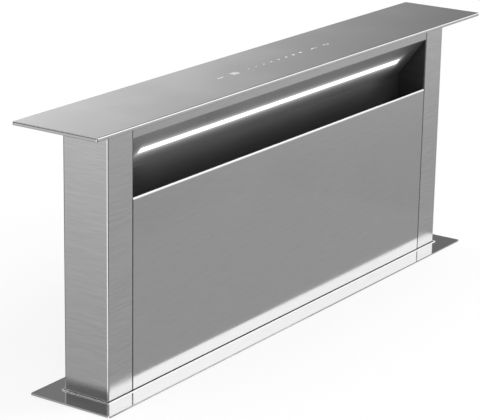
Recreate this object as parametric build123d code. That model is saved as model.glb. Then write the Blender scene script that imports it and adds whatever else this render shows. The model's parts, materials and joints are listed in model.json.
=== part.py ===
from build123d import *
import math
import os

# A downdraft extractor for a worktop. A flat tower, the riser, climbs out of a slot behind the hob,
# draws air in through the mouth under its cover plate, through two slanted grease filters and down
# its hollow inside into a sheet-metal chassis hung in the cabinet. A blower box on the chassis
# front pulls the air through a scroll and pushes it out of a round spigot with two damper flaps.
# Millimetres, X along the riser, front towards -Y, Z up. The origin is the middle of the slot, on
# the worktop's surface. Everything is drawn with the riser up, as it stands in use.

# ---- Riser: the tower that moves ----
riser_width = 770.5
riser_depth = 66.3
riser_sheet = 1.2
riser_foot_z = -70.0
post_width = 46.4
post_corner = 2.5
post_seam_corner = 1.0

# ---- Cover plate and touch row ----
plate_length = 880.0
plate_depth = 123.0
plate_top_z = 340.0
plate_rim = 4.4
plate_skin = 1.2
plate_corner = 2.5
plate_edge_round = 1.4
plate_foot_round = 0.5
backing_clearance = 0.2
touch_row_y = -2.0
touch_window_length = 300.0
touch_window_width = 36.0
touch_board_clearance = 2.0
touch_board_thickness = 1.6
touch_housing_depth = 15.0
touch_housing_wall = 2.0
touch_housing_rim = 4.0
dot_count = 8
dot_pitch = 17.1
dot_small_radius = 1.0
dot_large_radius = 2.1
icon_pitch = 31.0
icon_stroke = 1.5
icon_span = 13.0
icon_row_gap = 3.2
wing_length = 7.5
wing_offset = 3.3
wing_turn = 22.0
dash_length = 4.0
dash_offset = 4.6
mark_clearance = 0.05

# ---- Mouth: header, sloping light panel and its lamp ----
header_foot_z = 313.9
header_sheet = 1.0
header_return = 8.0
light_sheet = 1.0
light_tab = 8.0
light_wall_y = 9.0
light_corner_z = 259.0
cavity_floor_z = 205.0
light_end_gap = 0.5
cheek_foot_drop = 6.3
lamp_length = 597.0
lamp_width = 9.0
lamp_clearance = 0.15
lens_lip = 2.5
lens_lip_thickness = 1.4
lamp_profile_wall = 1.2
lamp_profile_depth = 9.5
lamp_board_thickness = 1.2
lamp_board_margin = 2.0
driver_length = 180.0
driver_height = 28.0
driver_gap = 2.0
driver_x = 150.0

# ---- Front and back panels of the riser ----
panel_top_z = 242.3
panel_sheet = 1.0
panel_seam = 0.9
panel_return = 12.0
panel_hem_depth = 3.0
panel_hem_drop = 8.0
back_return = 8.0
seat_gap = 0.3
catch_size = 8.0
catch_height = 20.0
catch_heights_z = (60.0, 200.0)
panel_screw_radius = 1.6
panel_screw_head = 2.8
panel_screw_length = 6.0
panel_screws_z = (-20.0, 60.0, 140.0, 250.0, 322.0)
screw_clearance = 0.2

# ---- Foot of the riser ----
crossbar_sheet = 1.5
crossbar_height = 23.0
crossbar_shelf = 21.0
foot_plate_thickness = 3.0
head_plate_thickness = 3.0
tray_sheet = 0.8
tray_gap = 0.65
tray_depth = 20.0
tray_front_height = 14.0
tray_back_height = 7.0

# ---- Grease filters ----
filter_thickness = 9.0
filter_border = 12.0
filter_foot_y = -18.0
filter_head_y = 16.5
filter_middle_gap = 0.6
filter_corner_drop = 1.125
filter_mesh_thickness = 6.0
filter_mesh_clearance = 0.2
filter_top_gap = 1.6
rail_strip_width = 10.0
rail_strip_thickness = 1.5
rail_strip_foot_gap = 18.0
rail_strip_head_gap = 12.0
mullion_width = 16.0

# ---- Lift ----
screw_radius = 5.0
screw_above_nut = 8.0
running_clearance = 0.05
nut_flange_radius = 14.0
nut_flange_thickness = 4.0
nut_body_radius = 9.0
nut_body_length = 24.0
nut_clearance = 0.2
lowered_gap = 0.6
base_clearance = 15.0
thrust_collar_radius = 9.0
thrust_collar_thickness = 4.0
collar_gap = 0.2
bearing_size = 36.0
bearing_thickness = 12.0
pulley_gap = 1.0
pulley_radius = 16.0
pulley_flange_radius = 18.5
pulley_flange_thickness = 1.0
belt_width = 10.0
belt_thickness = 1.6
belt_side_gap = 1.0
belt_gap = 0.3
coupling_radius = 9.0
coupling_length = 18.0
coupling_gap = 1.0
spigot_radius = 4.0
spigot_length = 8.0
gearbox_radius = 20.0
gearbox_length = 24.0
motor_radius = 17.5
motor_length = 38.0
motor_plate_thickness = 3.0
motor_plate_length = 70.0
bay_clearance = 11.5

# ---- Guides between riser and chassis ----
guide_space = 13.55
wall_space = 11.65
rail_sheet = 1.5
rail_depth = 10.0
rail_inner_width = 16.0
rail_head_z = -10.0
rail_foot_gap = 11.0
shoe_clearance = 0.3
shoe_height = 20.0
shoe_heads_z = (-46.0, -12.0)

# ---- Chassis and worktop flange ----
chassis_sheet = 1.2
chassis_return = 12.0
return_head_z = -8.0
flange_bearing_x = 17.0
flange_bearing_y = 13.7
flange_sheet = 1.2
flange_corner = 3.0
flange_lip = 1.0
lip_gap = 1.4
gasket_thickness = 0.8
gasket_clearance = 0.3
seal_height = 6.0
seal_gap = 0.3
base_thickness = 1.5
chassis_screw_radius = 2.0
chassis_screw_head = 4.0
chassis_screw_head_height = 2.2
chassis_screw_length = 6.0
chassis_screws_z = (-30.0, -150.0, -270.0, -390.0, -510.0)
bracket_width = 60.0
bracket_leg = 100.0
bracket_foot = 40.0
bracket_sheet = 2.0
bracket_hole_radius = 2.75
bracket_hole_spacing = 36.0

# ---- Blower ----
box_width = 420.0
box_height = 320.0
box_depth = 200.0
box_top_z = -100.0
box_sheet = 1.0
box_flange = 12.0
port_width = 300.0
port_height = 220.0
fan_x = -20.0
fan_drop = 180.0
scroll_width = 100.0
scroll_wall = 2.0
scroll_start_radius = 98.0
scroll_step = 14.0
throat_height = 100.0
inlet_radius = 66.0
wheel_radius = 82.0
wheel_blade_depth = 12.0
wheel_width = 90.0
wheel_ring_thickness = 2.0
wheel_disc_thickness = 2.0
blade_count = 30
blade_thickness = 1.2
blade_lean = 30.0
hub_radius = 14.0
hub_length = 20.0
shaft_radius = 4.0
fan_motor_radius = 44.0
fan_motor_length = 52.0
fan_motor_gap = 2.0
spider_arm_width = 12.0
spider_arm_thickness = 3.0
spider_arm_count = 3
spider_hub_radius = 22.0
cover_screws_per_side = 3

# ---- Duct spigot and damper ----
spigot_outer_radius = 74.0
spigot_wall = 1.5
duct_spigot_length = 80.0
spigot_flange_radius = 86.0
spigot_flange_thickness = 2.0
damper_axle_radius = 2.0
damper_axle_from_box = 10.0
flap_clearance = 1.0
flap_thickness = 1.2
flap_offset = 2.0
flap_middle_gap = 0.4
knuckle_radius = 3.4
knuckle_length = 10.0
knuckle_heights = (25.0, -50.0)
flap_notch_margin = 0.8
damper_spring_radius = 3.0
damper_spring_length = 8.0

# ---- Control box ----
control_gap = 10.0
control_height = 180.0
control_depth = 50.0
control_wall = 1.5
control_inset = 20.0
control_top_z = -120.0
control_boss_radius = 3.0
control_boss_height = 5.0
control_board_margin = 12.0
control_board_thickness = 1.6
relay_size = 16.0
relay_count = 4
gland_radius = 9.0
gland_bore_radius = 4.0
gland_length = 16.0
gland_neck_radius = 7.0
gland_inset = 27.0

# ---- How far a cut reaches past the face that it opens ----
cut_past = 1.0

# ---- Places worked out from the sizes ----
riser_half_x = riser_width / 2
riser_half_y = riser_depth / 2
front_y = -riser_half_y
post_inner_x = riser_half_x - post_width
post_middle_x = riser_half_x - post_width / 2
plate_under_z = plate_top_z - plate_rim
plate_skin_z = plate_top_z - plate_skin
crossbar_top_z = riser_foot_z + crossbar_height
panel_foot_z = crossbar_top_z + seat_gap
flange_under_z = gasket_thickness
flange_top_z = flange_under_z + flange_sheet
lip_top_z = flange_top_z + flange_lip
travel = plate_under_z - lip_top_z - lowered_gap
chassis_half_x = riser_half_x + guide_space + chassis_sheet
chassis_half_y = riser_half_y + wall_space + chassis_sheet
chassis_inner_x = chassis_half_x - chassis_sheet
chassis_inner_y = chassis_half_y - chassis_sheet
opening_half_x = riser_half_x + lip_gap
opening_half_y = riser_half_y + lip_gap
nut_foot_z = riser_foot_z - nut_flange_thickness
base_top_z = nut_foot_z - travel - base_clearance
base_under_z = base_top_z - base_thickness
bearing_foot_z = base_under_z - bearing_thickness
pulley_height = belt_width + 2 * (belt_side_gap + pulley_flange_thickness)
pulley_head_z = bearing_foot_z - pulley_gap
pulley_foot_z = pulley_head_z - pulley_height
coupling_head_z = pulley_foot_z - coupling_gap
coupling_foot_z = coupling_head_z - coupling_length
motor_head_z = coupling_foot_z - coupling_gap
motor_foot_z = motor_head_z - gearbox_length - motor_length
chassis_foot_z = motor_foot_z - bay_clearance
box_front_y = -chassis_half_y - box_depth
box_foot_z = box_top_z - box_height
fan_z = box_top_z - fan_drop
fan_y = -chassis_half_y - box_depth / 2
duct_z = fan_z + scroll_step / 2 + scroll_start_radius + 2 * scroll_step - throat_height / 2
duct_x = box_width / 2
axle_x = duct_x + damper_axle_from_box
spigot_inner_radius = spigot_outer_radius - spigot_wall
knuckle_bore = damper_axle_radius + running_clearance
control_low_x = control_inset - chassis_half_x
control_high_x = -box_width / 2 - box_flange - control_gap
control_front_y = -chassis_half_y - control_depth
control_foot_z = control_top_z - control_height


# ---- Shape helpers ----
def block(x, y, z):
    """A box from its low and high coordinate on each axis."""
    middle = Pos((x[0] + x[1]) / 2, (y[0] + y[1]) / 2, (z[0] + z[1]) / 2)
    return middle * Box(x[1] - x[0], y[1] - y[0], z[1] - z[0])


def rod_x(radius, y, z, ends):
    """A round bar along X between two X coordinates."""
    turned = Pos((ends[0] + ends[1]) / 2, y, z) * Rot(0, 90, 0)
    return turned * Cylinder(radius, ends[1] - ends[0])


def rod_y(radius, x, z, ends):
    """A round bar along Y between two Y coordinates."""
    turned = Pos(x, (ends[0] + ends[1]) / 2, z) * Rot(90, 0, 0)
    return turned * Cylinder(radius, ends[1] - ends[0])


def rod_z(radius, x, y, ends):
    """A round bar along Z between two Z coordinates."""
    return Pos(x, y, (ends[0] + ends[1]) / 2) * Cylinder(radius, ends[1] - ends[0])


def folded_sheet(points, thickness, half_length):
    """A sheet folded along X: its line in (Y, Z), given its thickness on the left of that line."""
    normals = []
    for (y0, z0), (y1, z1) in zip(points, points[1:]):
        run = math.hypot(y1 - y0, z1 - z0)
        normals.append(((z0 - z1) / run, (y1 - y0) / run))
    inner = []
    for i, (y, z) in enumerate(points):
        before = normals[max(i - 1, 0)]
        after = normals[min(i, len(normals) - 1)]
        reach = thickness / (1 + before[0] * after[0] + before[1] * after[1])
        inner.append((y + (before[0] + after[0]) * reach, z + (before[1] + after[1]) * reach))
    outline = make_face(Polyline(*points, *reversed(inner), close=True))
    return extrude(Plane.YZ * outline, half_length, both=True)


def ring(outer_half, inner_half, z):
    """A rectangular frame lying flat, from its outer and inner half sizes."""
    outer = block((-outer_half[0], outer_half[0]), (-outer_half[1], outer_half[1]), z)
    inner = block((-inner_half[0], inner_half[0]), (-inner_half[1], inner_half[1]), z)
    return outer - inner


def group(shapes):
    """Several separate solids as one node."""
    return Compound([solid for shape in shapes for solid in shape.solids()])


def both_sides(shape):
    """A piece and its mirror image on the other side of the riser."""
    return group([shape, mirror(shape, Plane.YZ)])


# ---- Cover plate, its backing and the touch row ----
def touch_marks(growth):
    """The outlines of the lit marks in the cover plate, each grown by a clearance."""
    marks = Sketch()
    first_x = -dot_pitch * (dot_count - 1) / 2
    for i in range(dot_count):
        share = i / (dot_count - 1)
        radius = dot_small_radius + (dot_large_radius - dot_small_radius) * share
        marks += Pos(first_x + i * dot_pitch, touch_row_y) * Circle(radius + growth)
    last_x = -first_x
    stroke = icon_stroke + 2 * growth
    span = icon_span + 2 * growth
    wing_span = wing_length + 2 * growth
    marks += Pos(first_x - 2 * icon_pitch, touch_row_y) * SlotOverall(span, stroke)
    for side in (-1, 0, 1):
        bar_place = Pos(first_x - icon_pitch, touch_row_y + side * icon_row_gap)
        marks += bar_place * SlotOverall(span, stroke)
        dot_place = Pos(last_x + 2 * icon_pitch, touch_row_y + side * icon_row_gap)
        marks += dot_place * Circle(stroke / 2)
    for side in (-1, 1):
        wing_place = Pos(last_x + icon_pitch + side * wing_offset, touch_row_y)
        marks += wing_place * Rot(0, 0, -side * wing_turn) * SlotOverall(wing_span, stroke)
        dash_place = Pos(last_x + 2 * icon_pitch + side * dash_offset, touch_row_y)
        marks += dash_place * SlotOverall(dash_length + 2 * growth, stroke)
    return marks


def top_plate():
    """The cover plate: a skin with a rim folded down all round, and windows for the lit marks."""
    plate = extrude(RectangleRounded(plate_length, plate_depth, plate_corner), plate_rim)
    plate = fillet(plate.faces().sort_by(Axis.Z)[-1].edges(), plate_edge_round)
    plate = fillet(plate.faces().sort_by(Axis.Z)[0].edges(), plate_foot_round)
    hollow = Rectangle(plate_length - 2 * plate_skin, plate_depth - 2 * plate_skin)
    plate -= extrude(hollow, plate_rim - plate_skin)
    plate = Pos(0, 0, plate_under_z) * plate
    return plate - Pos(0, 0, plate_skin_z) * extrude(touch_marks(mark_clearance), plate_skin)


def plate_backing():
    """The stiffening board glued inside the plate, open over the touch row."""
    half_x = plate_length / 2 - plate_skin - backing_clearance
    half_y = plate_depth / 2 - plate_skin - backing_clearance
    board = block((-half_x, half_x), (-half_y, half_y), (plate_under_z, plate_skin_z))
    window_x = (-touch_window_length / 2, touch_window_length / 2)
    window_y = (touch_row_y - touch_window_width / 2, touch_row_y + touch_window_width / 2)
    return board - block(window_x, window_y, (plate_under_z, plate_skin_z))


def touch_slab(z):
    """A slab that fits the touch window with its clearance."""
    half_x = touch_window_length / 2 - touch_board_clearance / 2
    half_y = touch_window_width / 2 - touch_board_clearance / 2
    return block((-half_x, half_x), (touch_row_y - half_y, touch_row_y + half_y), z)


def touch_light_guide():
    """The clear guide under the skin, with a boss standing in each window."""
    guide = touch_slab((plate_under_z + touch_board_thickness, plate_skin_z))
    return guide + Pos(0, 0, plate_skin_z) * extrude(touch_marks(0), plate_skin)


def touch_board():
    """The circuit board under the light guide."""
    return touch_slab((plate_under_z, plate_under_z + touch_board_thickness))


def touch_housing():
    """The tray under the touch board, its rim against the plate's backing."""
    half_x = touch_window_length / 2 + touch_housing_rim
    half_y = touch_window_width / 2 + touch_housing_rim
    foot_z = plate_under_z - touch_housing_depth
    rim_y = (touch_row_y - half_y, touch_row_y + half_y)
    outer = block((-half_x, half_x), rim_y, (foot_z, plate_under_z))
    inner_x = touch_window_length / 2 - touch_housing_wall - touch_board_clearance
    inner_y = touch_window_width / 2 - touch_housing_wall - touch_board_clearance
    floor_z = foot_z + touch_housing_wall
    well = (touch_row_y - inner_y, touch_row_y + inner_y)
    return outer - block((-inner_x, inner_x), well, (floor_z, plate_under_z))


# ---- Posts ----
def panel_screw_places():
    """Where the back panel's side flanges are screwed to the right post, as (Y, Z)."""
    screw_y = riser_half_y - panel_sheet - (back_return - panel_sheet) / 2
    return [(screw_y, z) for z in panel_screws_z]


def post_right():
    """A square tube folded from sheet, with holes for the back panel's screws."""
    outline = Rectangle(post_width, riser_depth)
    outline = fillet(outline.vertices().group_by(Axis.X)[-1], post_corner)
    outline = fillet(outline.vertices().group_by(Axis.X)[0], post_seam_corner)
    outline -= Rectangle(post_width - 2 * riser_sheet, riser_depth - 2 * riser_sheet)
    tube = extrude(outline, plate_under_z - riser_foot_z)
    tube = Pos(post_middle_x, 0, riser_foot_z) * tube
    for y, z in panel_screw_places():
        hole_ends = (post_inner_x, post_inner_x + riser_sheet)
        tube -= rod_x(panel_screw_radius + screw_clearance, y, z, hole_ends)
    return tube


def inside_post(z):
    """A slab that fills the right post's inside between two heights."""
    inner_x = (post_inner_x + riser_sheet, riser_half_x - riser_sheet)
    inner_y = riser_half_y - riser_sheet
    return block(inner_x, (-inner_y, inner_y), z)


def post_plates():
    """The plates in each post's head and foot; the foot plate is bored for the lift nut."""
    head = inside_post((plate_under_z - head_plate_thickness, plate_under_z))
    foot_ends = (riser_foot_z, riser_foot_z + foot_plate_thickness)
    foot = inside_post(foot_ends)
    bore = rod_z(nut_body_radius + nut_clearance, post_middle_x, 0, foot_ends)
    return both_sides(group([head, foot - bore]))


# ---- Mouth: header, light panel and lamp ----
lamp_run_y = light_wall_y - (front_y + header_sheet)
lamp_run_z = light_corner_z - header_foot_z
lamp_run = math.hypot(lamp_run_y, lamp_run_z)
lamp_plane = Plane(
    origin=(0, (light_wall_y + front_y + header_sheet) / 2, (light_corner_z + header_foot_z) / 2),
    x_dir=(1, 0, 0),
    z_dir=(0, lamp_run_z / lamp_run, -lamp_run_y / lamp_run),
)


def lamp_slab(length, width, depths):
    """A slab lined up with the lamp, between two depths measured out of the sloping face."""
    thickness = depths[1] - depths[0]
    return lamp_plane * Pos(0, 0, (depths[0] + depths[1]) / 2) * Box(length, width, thickness)


def header_strip():
    """The strip over the mouth, hung from the cover plate by a folded return."""
    line = [
        (front_y + header_return, plate_under_z),
        (front_y, plate_under_z),
        (front_y, header_foot_z),
    ]
    return folded_sheet(line, header_sheet, post_inner_x - panel_seam)


def mouth_cheek():
    """The dark sheet's end, folded forward over the right post between header and panel."""
    start_y = front_y + header_sheet
    hem_y = front_y + panel_hem_depth + panel_seam
    outline = make_face(
        Polyline(
            (start_y, header_foot_z),
            (light_wall_y, light_corner_z),
            (light_wall_y, panel_top_z - cheek_foot_drop),
            (hem_y, panel_top_z - cheek_foot_drop),
            (hem_y, panel_top_z + panel_seam),
            (start_y, panel_top_z + panel_seam),
            close=True,
        )
    )
    inner_x = post_inner_x - light_end_gap - light_sheet
    return Pos(inner_x, 0, 0) * extrude(Plane.YZ * outline, light_sheet)


def light_panel():
    """The dark sheet that slopes back from the header, drops as a wall and closes the cavity."""
    start_y = front_y + header_sheet
    line = [
        (start_y, header_foot_z + light_tab),
        (start_y, header_foot_z),
        (light_wall_y, light_corner_z),
        (light_wall_y, cavity_floor_z),
        (riser_half_y - panel_sheet, cavity_floor_z),
    ]
    sheet = folded_sheet(line, light_sheet, post_inner_x - panel_seam - panel_sheet - light_end_gap)
    slot = lamp_slab(lamp_length, lamp_width, (-light_sheet - cut_past, cut_past))
    end_strip = folded_sheet(line[:4], light_sheet, post_inner_x - light_end_gap)
    cheek = mouth_cheek()
    return sheet + end_strip + cheek + mirror(cheek, Plane.YZ) - slot


def lamp_lens():
    """The white lens: its face fills the slot and its lip lies behind the sheet."""
    face_length = lamp_length - 2 * lamp_clearance
    face = lamp_slab(face_length, lamp_width - 2 * lamp_clearance, (-light_sheet, 0))
    lip_depths = (-light_sheet - lens_lip_thickness, -light_sheet)
    return face + lamp_slab(lamp_length + 2 * lens_lip, lamp_width + 2 * lens_lip, lip_depths)


def lamp_profile():
    """The aluminium channel behind the lens."""
    outer_length = lamp_length + 2 * (lens_lip + lamp_clearance + lamp_profile_wall)
    outer_width = lamp_width + 2 * (lens_lip + lamp_clearance + lamp_profile_wall)
    outer = lamp_slab(outer_length, outer_width, (-light_sheet - lamp_profile_depth, -light_sheet))
    inner_length = outer_length - 2 * lamp_profile_wall
    inner_width = outer_width - 2 * lamp_profile_wall
    floor_depth = -light_sheet - lamp_profile_depth + lamp_profile_wall
    return outer - lamp_slab(inner_length, inner_width, (floor_depth, -light_sheet))


def lamp_board():
    """The strip of light-emitting diodes on the channel's floor."""
    floor_depth = -light_sheet - lamp_profile_depth + lamp_profile_wall
    board_length = lamp_length - 2 * lamp_board_margin
    board_width = lamp_width - 2 * lamp_board_margin
    return lamp_slab(board_length, board_width, (floor_depth, floor_depth + lamp_board_thickness))


def lamp_driver():
    """The lamp's power supply, on the cavity floor behind the inner wall."""
    floor_z = cavity_floor_z + light_sheet
    deep = (light_wall_y + light_sheet + driver_gap, riser_half_y - panel_sheet - driver_gap)
    long = (driver_x - driver_length / 2, driver_x + driver_length / 2)
    return block(long, deep, (floor_z, floor_z + driver_height))


# ---- Panels of the riser ----
def side_flange(z, depth):
    """A panel's right side flange, behind its face at the front of the riser."""
    outer_x = post_inner_x - panel_seam
    deep = (front_y + panel_sheet, front_y + depth)
    return block((outer_x - panel_sheet, outer_x), deep, z)


def front_panel():
    """The lift-off front panel: a face with side flanges and a hem along its top edge."""
    line = [
        (front_y + panel_hem_depth, panel_top_z - panel_hem_drop),
        (front_y + panel_hem_depth, panel_top_z),
        (front_y, panel_top_z),
        (front_y, panel_foot_z),
    ]
    panel = folded_sheet(line, panel_sheet, post_inner_x - panel_seam)
    flange = side_flange((panel_foot_z, panel_top_z - panel_hem_drop), panel_return)
    return panel + flange + mirror(flange, Plane.YZ)


def back_panel():
    """The fixed back panel: a flat sheet with a strip welded along each side, screwed to the posts."""
    half = post_inner_x - panel_seam
    tall = (panel_foot_z, plate_under_z)
    face = block((-half, half), (riser_half_y - panel_sheet, riser_half_y), tall)
    strip = mirror(side_flange(tall, back_return), Plane.XZ)
    for y, z in panel_screw_places():
        strip -= rod_x(panel_screw_radius + screw_clearance, y, z, (half - panel_sheet, half))
    return group([face, both_sides(strip)])


def panel_screws():
    """The screws through the back panel's side strips into the posts."""
    screws = []
    face_x = post_inner_x - panel_seam - panel_sheet
    for y, z in panel_screw_places():
        shank = rod_x(panel_screw_radius, y, z, (face_x, face_x + panel_screw_length))
        head = rod_x(panel_screw_head, y, z, (face_x - panel_screw_radius, face_x))
        screws.append(both_sides(shank + head))
    return group(screws)


def panel_catches():
    """Four magnet catches on the posts, behind the front panel's side flanges."""
    catches = []
    deep = (front_y + panel_return + seat_gap, front_y + panel_return + seat_gap + catch_size)
    for z in catch_heights_z:
        catch = block((post_inner_x - catch_size, post_inner_x), deep, (z, z + catch_height))
        catches.append(both_sides(catch))
    return group(catches)


def crossbar_front():
    """The folded bar across the riser's foot, with the shelf that the panel stands on."""
    line = [
        (front_y + crossbar_shelf, crossbar_top_z),
        (front_y, crossbar_top_z),
        (front_y, riser_foot_z),
    ]
    return folded_sheet(line, crossbar_sheet, post_inner_x)


def crossbars():
    """The front bar and its mirror image at the back."""
    return group([crossbar_front(), mirror(crossbar_front(), Plane.XZ)])


def drip_tray():
    """The trough on the front shelf that catches grease from the filters."""
    low_y = front_y + panel_sheet + tray_gap
    line = [
        (low_y + tray_depth, panel_foot_z + tray_back_height),
        (low_y + tray_depth, panel_foot_z),
        (low_y, panel_foot_z),
        (low_y, panel_foot_z + tray_front_height),
    ]
    half = post_inner_x - panel_seam - panel_sheet - tray_gap
    return folded_sheet([(y, z) for y, z in reversed(line)], tray_sheet, half)


# ---- Filters ----
filter_foot_z = panel_foot_z + tray_sheet + seat_gap + filter_corner_drop
filter_head_z = cavity_floor_z - filter_top_gap
filter_rise_y = filter_head_y - filter_foot_y
filter_rise_z = filter_head_z - filter_foot_z
filter_height = math.hypot(filter_rise_y, filter_rise_z)
filter_tilt = math.degrees(math.atan2(filter_rise_y, filter_rise_z))
filter_half_width = post_inner_x - panel_seam - panel_sheet - tray_gap - filter_middle_gap / 2
filter_middle = Pos(
    0, (filter_foot_y + filter_head_y) / 2, (filter_foot_z + filter_head_z) / 2
) * Rot(-filter_tilt, 0, 0)


def filter_slab(x, depth, z):
    """A slab lined up with the slanted filters."""
    return filter_middle * block(x, depth, z)


def filter_frames():
    """Two cassettes side by side: the folded frame of each."""
    x = (filter_middle_gap / 2, filter_half_width)
    depth = (-filter_thickness / 2, filter_thickness / 2)
    z = (-filter_height / 2, filter_height / 2)
    inner_x = (x[0] + filter_border, x[1] - filter_border)
    inner_z = (z[0] + filter_border, z[1] - filter_border)
    return both_sides(filter_slab(x, depth, z) - filter_slab(inner_x, depth, inner_z))


def filter_meshes():
    """The layered metal mesh held in each cassette."""
    edge = filter_border + filter_mesh_clearance
    x = (filter_middle_gap / 2 + edge, filter_half_width - edge)
    depth = (-filter_mesh_thickness / 2, filter_mesh_thickness / 2)
    z = (edge - filter_height / 2, filter_height / 2 - edge)
    return both_sides(filter_slab(x, depth, z))


def filter_rails():
    """The slanted strips behind the cassettes: one on each post and one in the middle."""
    low = filter_thickness / 2 + seat_gap
    depth = (low, low + rail_strip_thickness)
    z = (rail_strip_foot_gap - filter_height / 2, filter_height / 2 - rail_strip_head_gap)
    side = filter_slab((post_inner_x - rail_strip_width, post_inner_x), depth, z)
    tall = (z[0], filter_height / 2 + filter_top_gap)
    wide = (-mullion_width / 2, mullion_width / 2)
    under_floor = block(wide, (-riser_half_y, riser_half_y), (crossbar_top_z, cavity_floor_z))
    return group([both_sides(side), filter_slab(wide, depth, tall) & under_floor])


# ---- Lift ----
def lift_nuts():
    """A flanged nut under each post's foot plate."""
    flange = rod_z(nut_flange_radius, post_middle_x, 0, (nut_foot_z, riser_foot_z))
    body = rod_z(nut_body_radius, post_middle_x, 0, (riser_foot_z, riser_foot_z + nut_body_length))
    bore_ends = (nut_foot_z, riser_foot_z + nut_body_length)
    bore = rod_z(screw_radius + running_clearance, post_middle_x, 0, bore_ends)
    return both_sides(flange + body - bore)


def slide_shoes():
    """Two shoes on each post that run in the guide rails."""
    x = (riser_half_x, chassis_inner_x - rail_sheet - shoe_clearance)
    half_y = rail_inner_width / 2 - shoe_clearance
    shoes = []
    for head_z in shoe_heads_z:
        shoes.append(both_sides(block(x, (-half_y, half_y), (head_z - shoe_height, head_z))))
    return group(shoes)


def lead_screw(side, foot_z):
    """A lift screw with its thrust collar, at the left or right post."""
    head_z = riser_foot_z + nut_body_length + screw_above_nut
    shaft = rod_z(screw_radius, side * post_middle_x, 0, (foot_z, head_z))
    collar_z = base_top_z + collar_gap
    collar_ends = (collar_z, collar_z + thrust_collar_thickness)
    return shaft + rod_z(thrust_collar_radius, side * post_middle_x, 0, collar_ends)


def screw_pulley(side):
    """The flanged belt pulley on a lift screw."""
    x = side * post_middle_x
    rim = rod_z(pulley_radius, x, 0, (pulley_foot_z, pulley_head_z))
    rim += rod_z(pulley_flange_radius, x, 0, (pulley_foot_z, pulley_foot_z + pulley_flange_thickness))
    rim += rod_z(pulley_flange_radius, x, 0, (pulley_head_z - pulley_flange_thickness, pulley_head_z))
    return rim - rod_z(screw_radius + running_clearance, x, 0, (pulley_foot_z, pulley_head_z))


def drive_coupling():
    """The coupling between the gearmotor and the left lift screw, with the motor's output end."""
    x = -post_middle_x
    sleeve = rod_z(coupling_radius, x, 0, (coupling_foot_z, coupling_head_z))
    sleeve += rod_z(spigot_radius, x, 0, (motor_head_z - spigot_length, coupling_foot_z))
    socket_z = coupling_head_z - coupling_length / 2
    return sleeve - rod_z(screw_radius + running_clearance, x, 0, (socket_z, coupling_head_z))


def drive_belt():
    """The toothed belt's loop around both pulleys."""
    inner_height = 2 * (pulley_radius + belt_gap)
    loop = SlotCenterToCenter(2 * post_middle_x, inner_height + 2 * belt_thickness)
    loop -= SlotCenterToCenter(2 * post_middle_x, inner_height)
    belt_foot_z = pulley_foot_z + pulley_flange_thickness + belt_side_gap
    return Pos(0, 0, belt_foot_z) * extrude(loop, belt_width)


def screw_bearings():
    """The bearing block under the chassis base for each lift screw."""
    half = bearing_size / 2
    x = (post_middle_x - half, post_middle_x + half)
    bearing = block(x, (-half, half), (bearing_foot_z, base_under_z))
    bore = rod_z(screw_radius + running_clearance, post_middle_x, 0, (bearing_foot_z, base_under_z))
    return both_sides(bearing - bore)


def gearmotor():
    """The lift's gearmotor, hung under its mounting plate."""
    x = -post_middle_x
    gearbox_foot_z = motor_head_z - gearbox_length
    motor = rod_z(gearbox_radius, x, 0, (gearbox_foot_z, motor_head_z))
    motor += rod_z(motor_radius, x, 0, (motor_foot_z, gearbox_foot_z))
    bore_ends = (motor_head_z - spigot_length - coupling_gap, motor_head_z)
    return motor - rod_z(spigot_radius + running_clearance, x, 0, bore_ends)


def motor_plate():
    """The plate across the drive bay that carries the gearmotor."""
    x = (-chassis_inner_x, motor_plate_length - chassis_inner_x)
    half_y = chassis_inner_y - chassis_sheet
    plate = block(x, (-half_y, half_y), (motor_head_z, motor_head_z + motor_plate_thickness))
    hole_radius = coupling_radius + coupling_gap
    hole_ends = (motor_head_z, motor_head_z + motor_plate_thickness)
    return plate - rod_z(hole_radius, -post_middle_x, 0, hole_ends)


# ---- Chassis ----
def guide_rails():
    """The channel on each side wall that a post's shoes run in."""
    x = (chassis_inner_x - rail_sheet - rail_depth, chassis_inner_x)
    half_y = rail_inner_width / 2 + rail_sheet
    z = (base_top_z + rail_foot_gap, rail_head_z)
    channel = block(x, (-half_y, half_y), z)
    run = block((x[0], x[1] - rail_sheet), (-rail_inner_width / 2, rail_inner_width / 2), z)
    return both_sides(channel - run)


def chassis_screw_places():
    """Where the front and back sheets are screwed to the side walls' returns, as (X, Z)."""
    screw_x = chassis_inner_x - chassis_return / 2
    return [(side * screw_x, z) for side in (-1, 1) for z in chassis_screws_z]


def screw_hole_y(x, z):
    """The hole through a sheet that faces front or back, for one chassis screw."""
    reach = chassis_half_y + box_depth
    return rod_y(chassis_screw_radius + screw_clearance, x, z, (-reach, reach))


def chassis_side_right():
    """A side wall, folded in along its front and back edges."""
    wall = block(
        (chassis_inner_x, chassis_half_x),
        (-chassis_inner_y, chassis_inner_y),
        (chassis_foot_z, flange_under_z),
    )
    for side in (-1, 1):
        edge_y = sorted((side * chassis_inner_y, side * (chassis_inner_y - chassis_sheet)))
        fold_x = (chassis_inner_x - chassis_return, chassis_inner_x)
        wall += block(fold_x, edge_y, (chassis_foot_z, return_head_z))
    for x, z in chassis_screw_places():
        if x > 0:
            wall -= screw_hole_y(x, z)
    return wall


def chassis_sheet_at(low_y):
    """A full-width sheet of the chassis with its screw holes."""
    x = (-chassis_half_x, chassis_half_x)
    sheet = block(x, (low_y, low_y + chassis_sheet), (chassis_foot_z, flange_under_z))
    for x, z in chassis_screw_places():
        sheet -= screw_hole_y(x, z)
    return sheet


def blower_screw_places():
    """Where the blower box's flange is screwed to the chassis, as (X, Z)."""
    edge_x = box_width / 2 + box_flange / 2
    middle_z = (box_top_z + box_foot_z) / 2
    high_z = box_top_z + box_flange / 2
    low_z = box_foot_z - box_flange / 2
    corners = [(side * edge_x, z) for side in (-1, 1) for z in (low_z, middle_z, high_z)]
    return corners + [(0, low_z), (0, high_z)]


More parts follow.
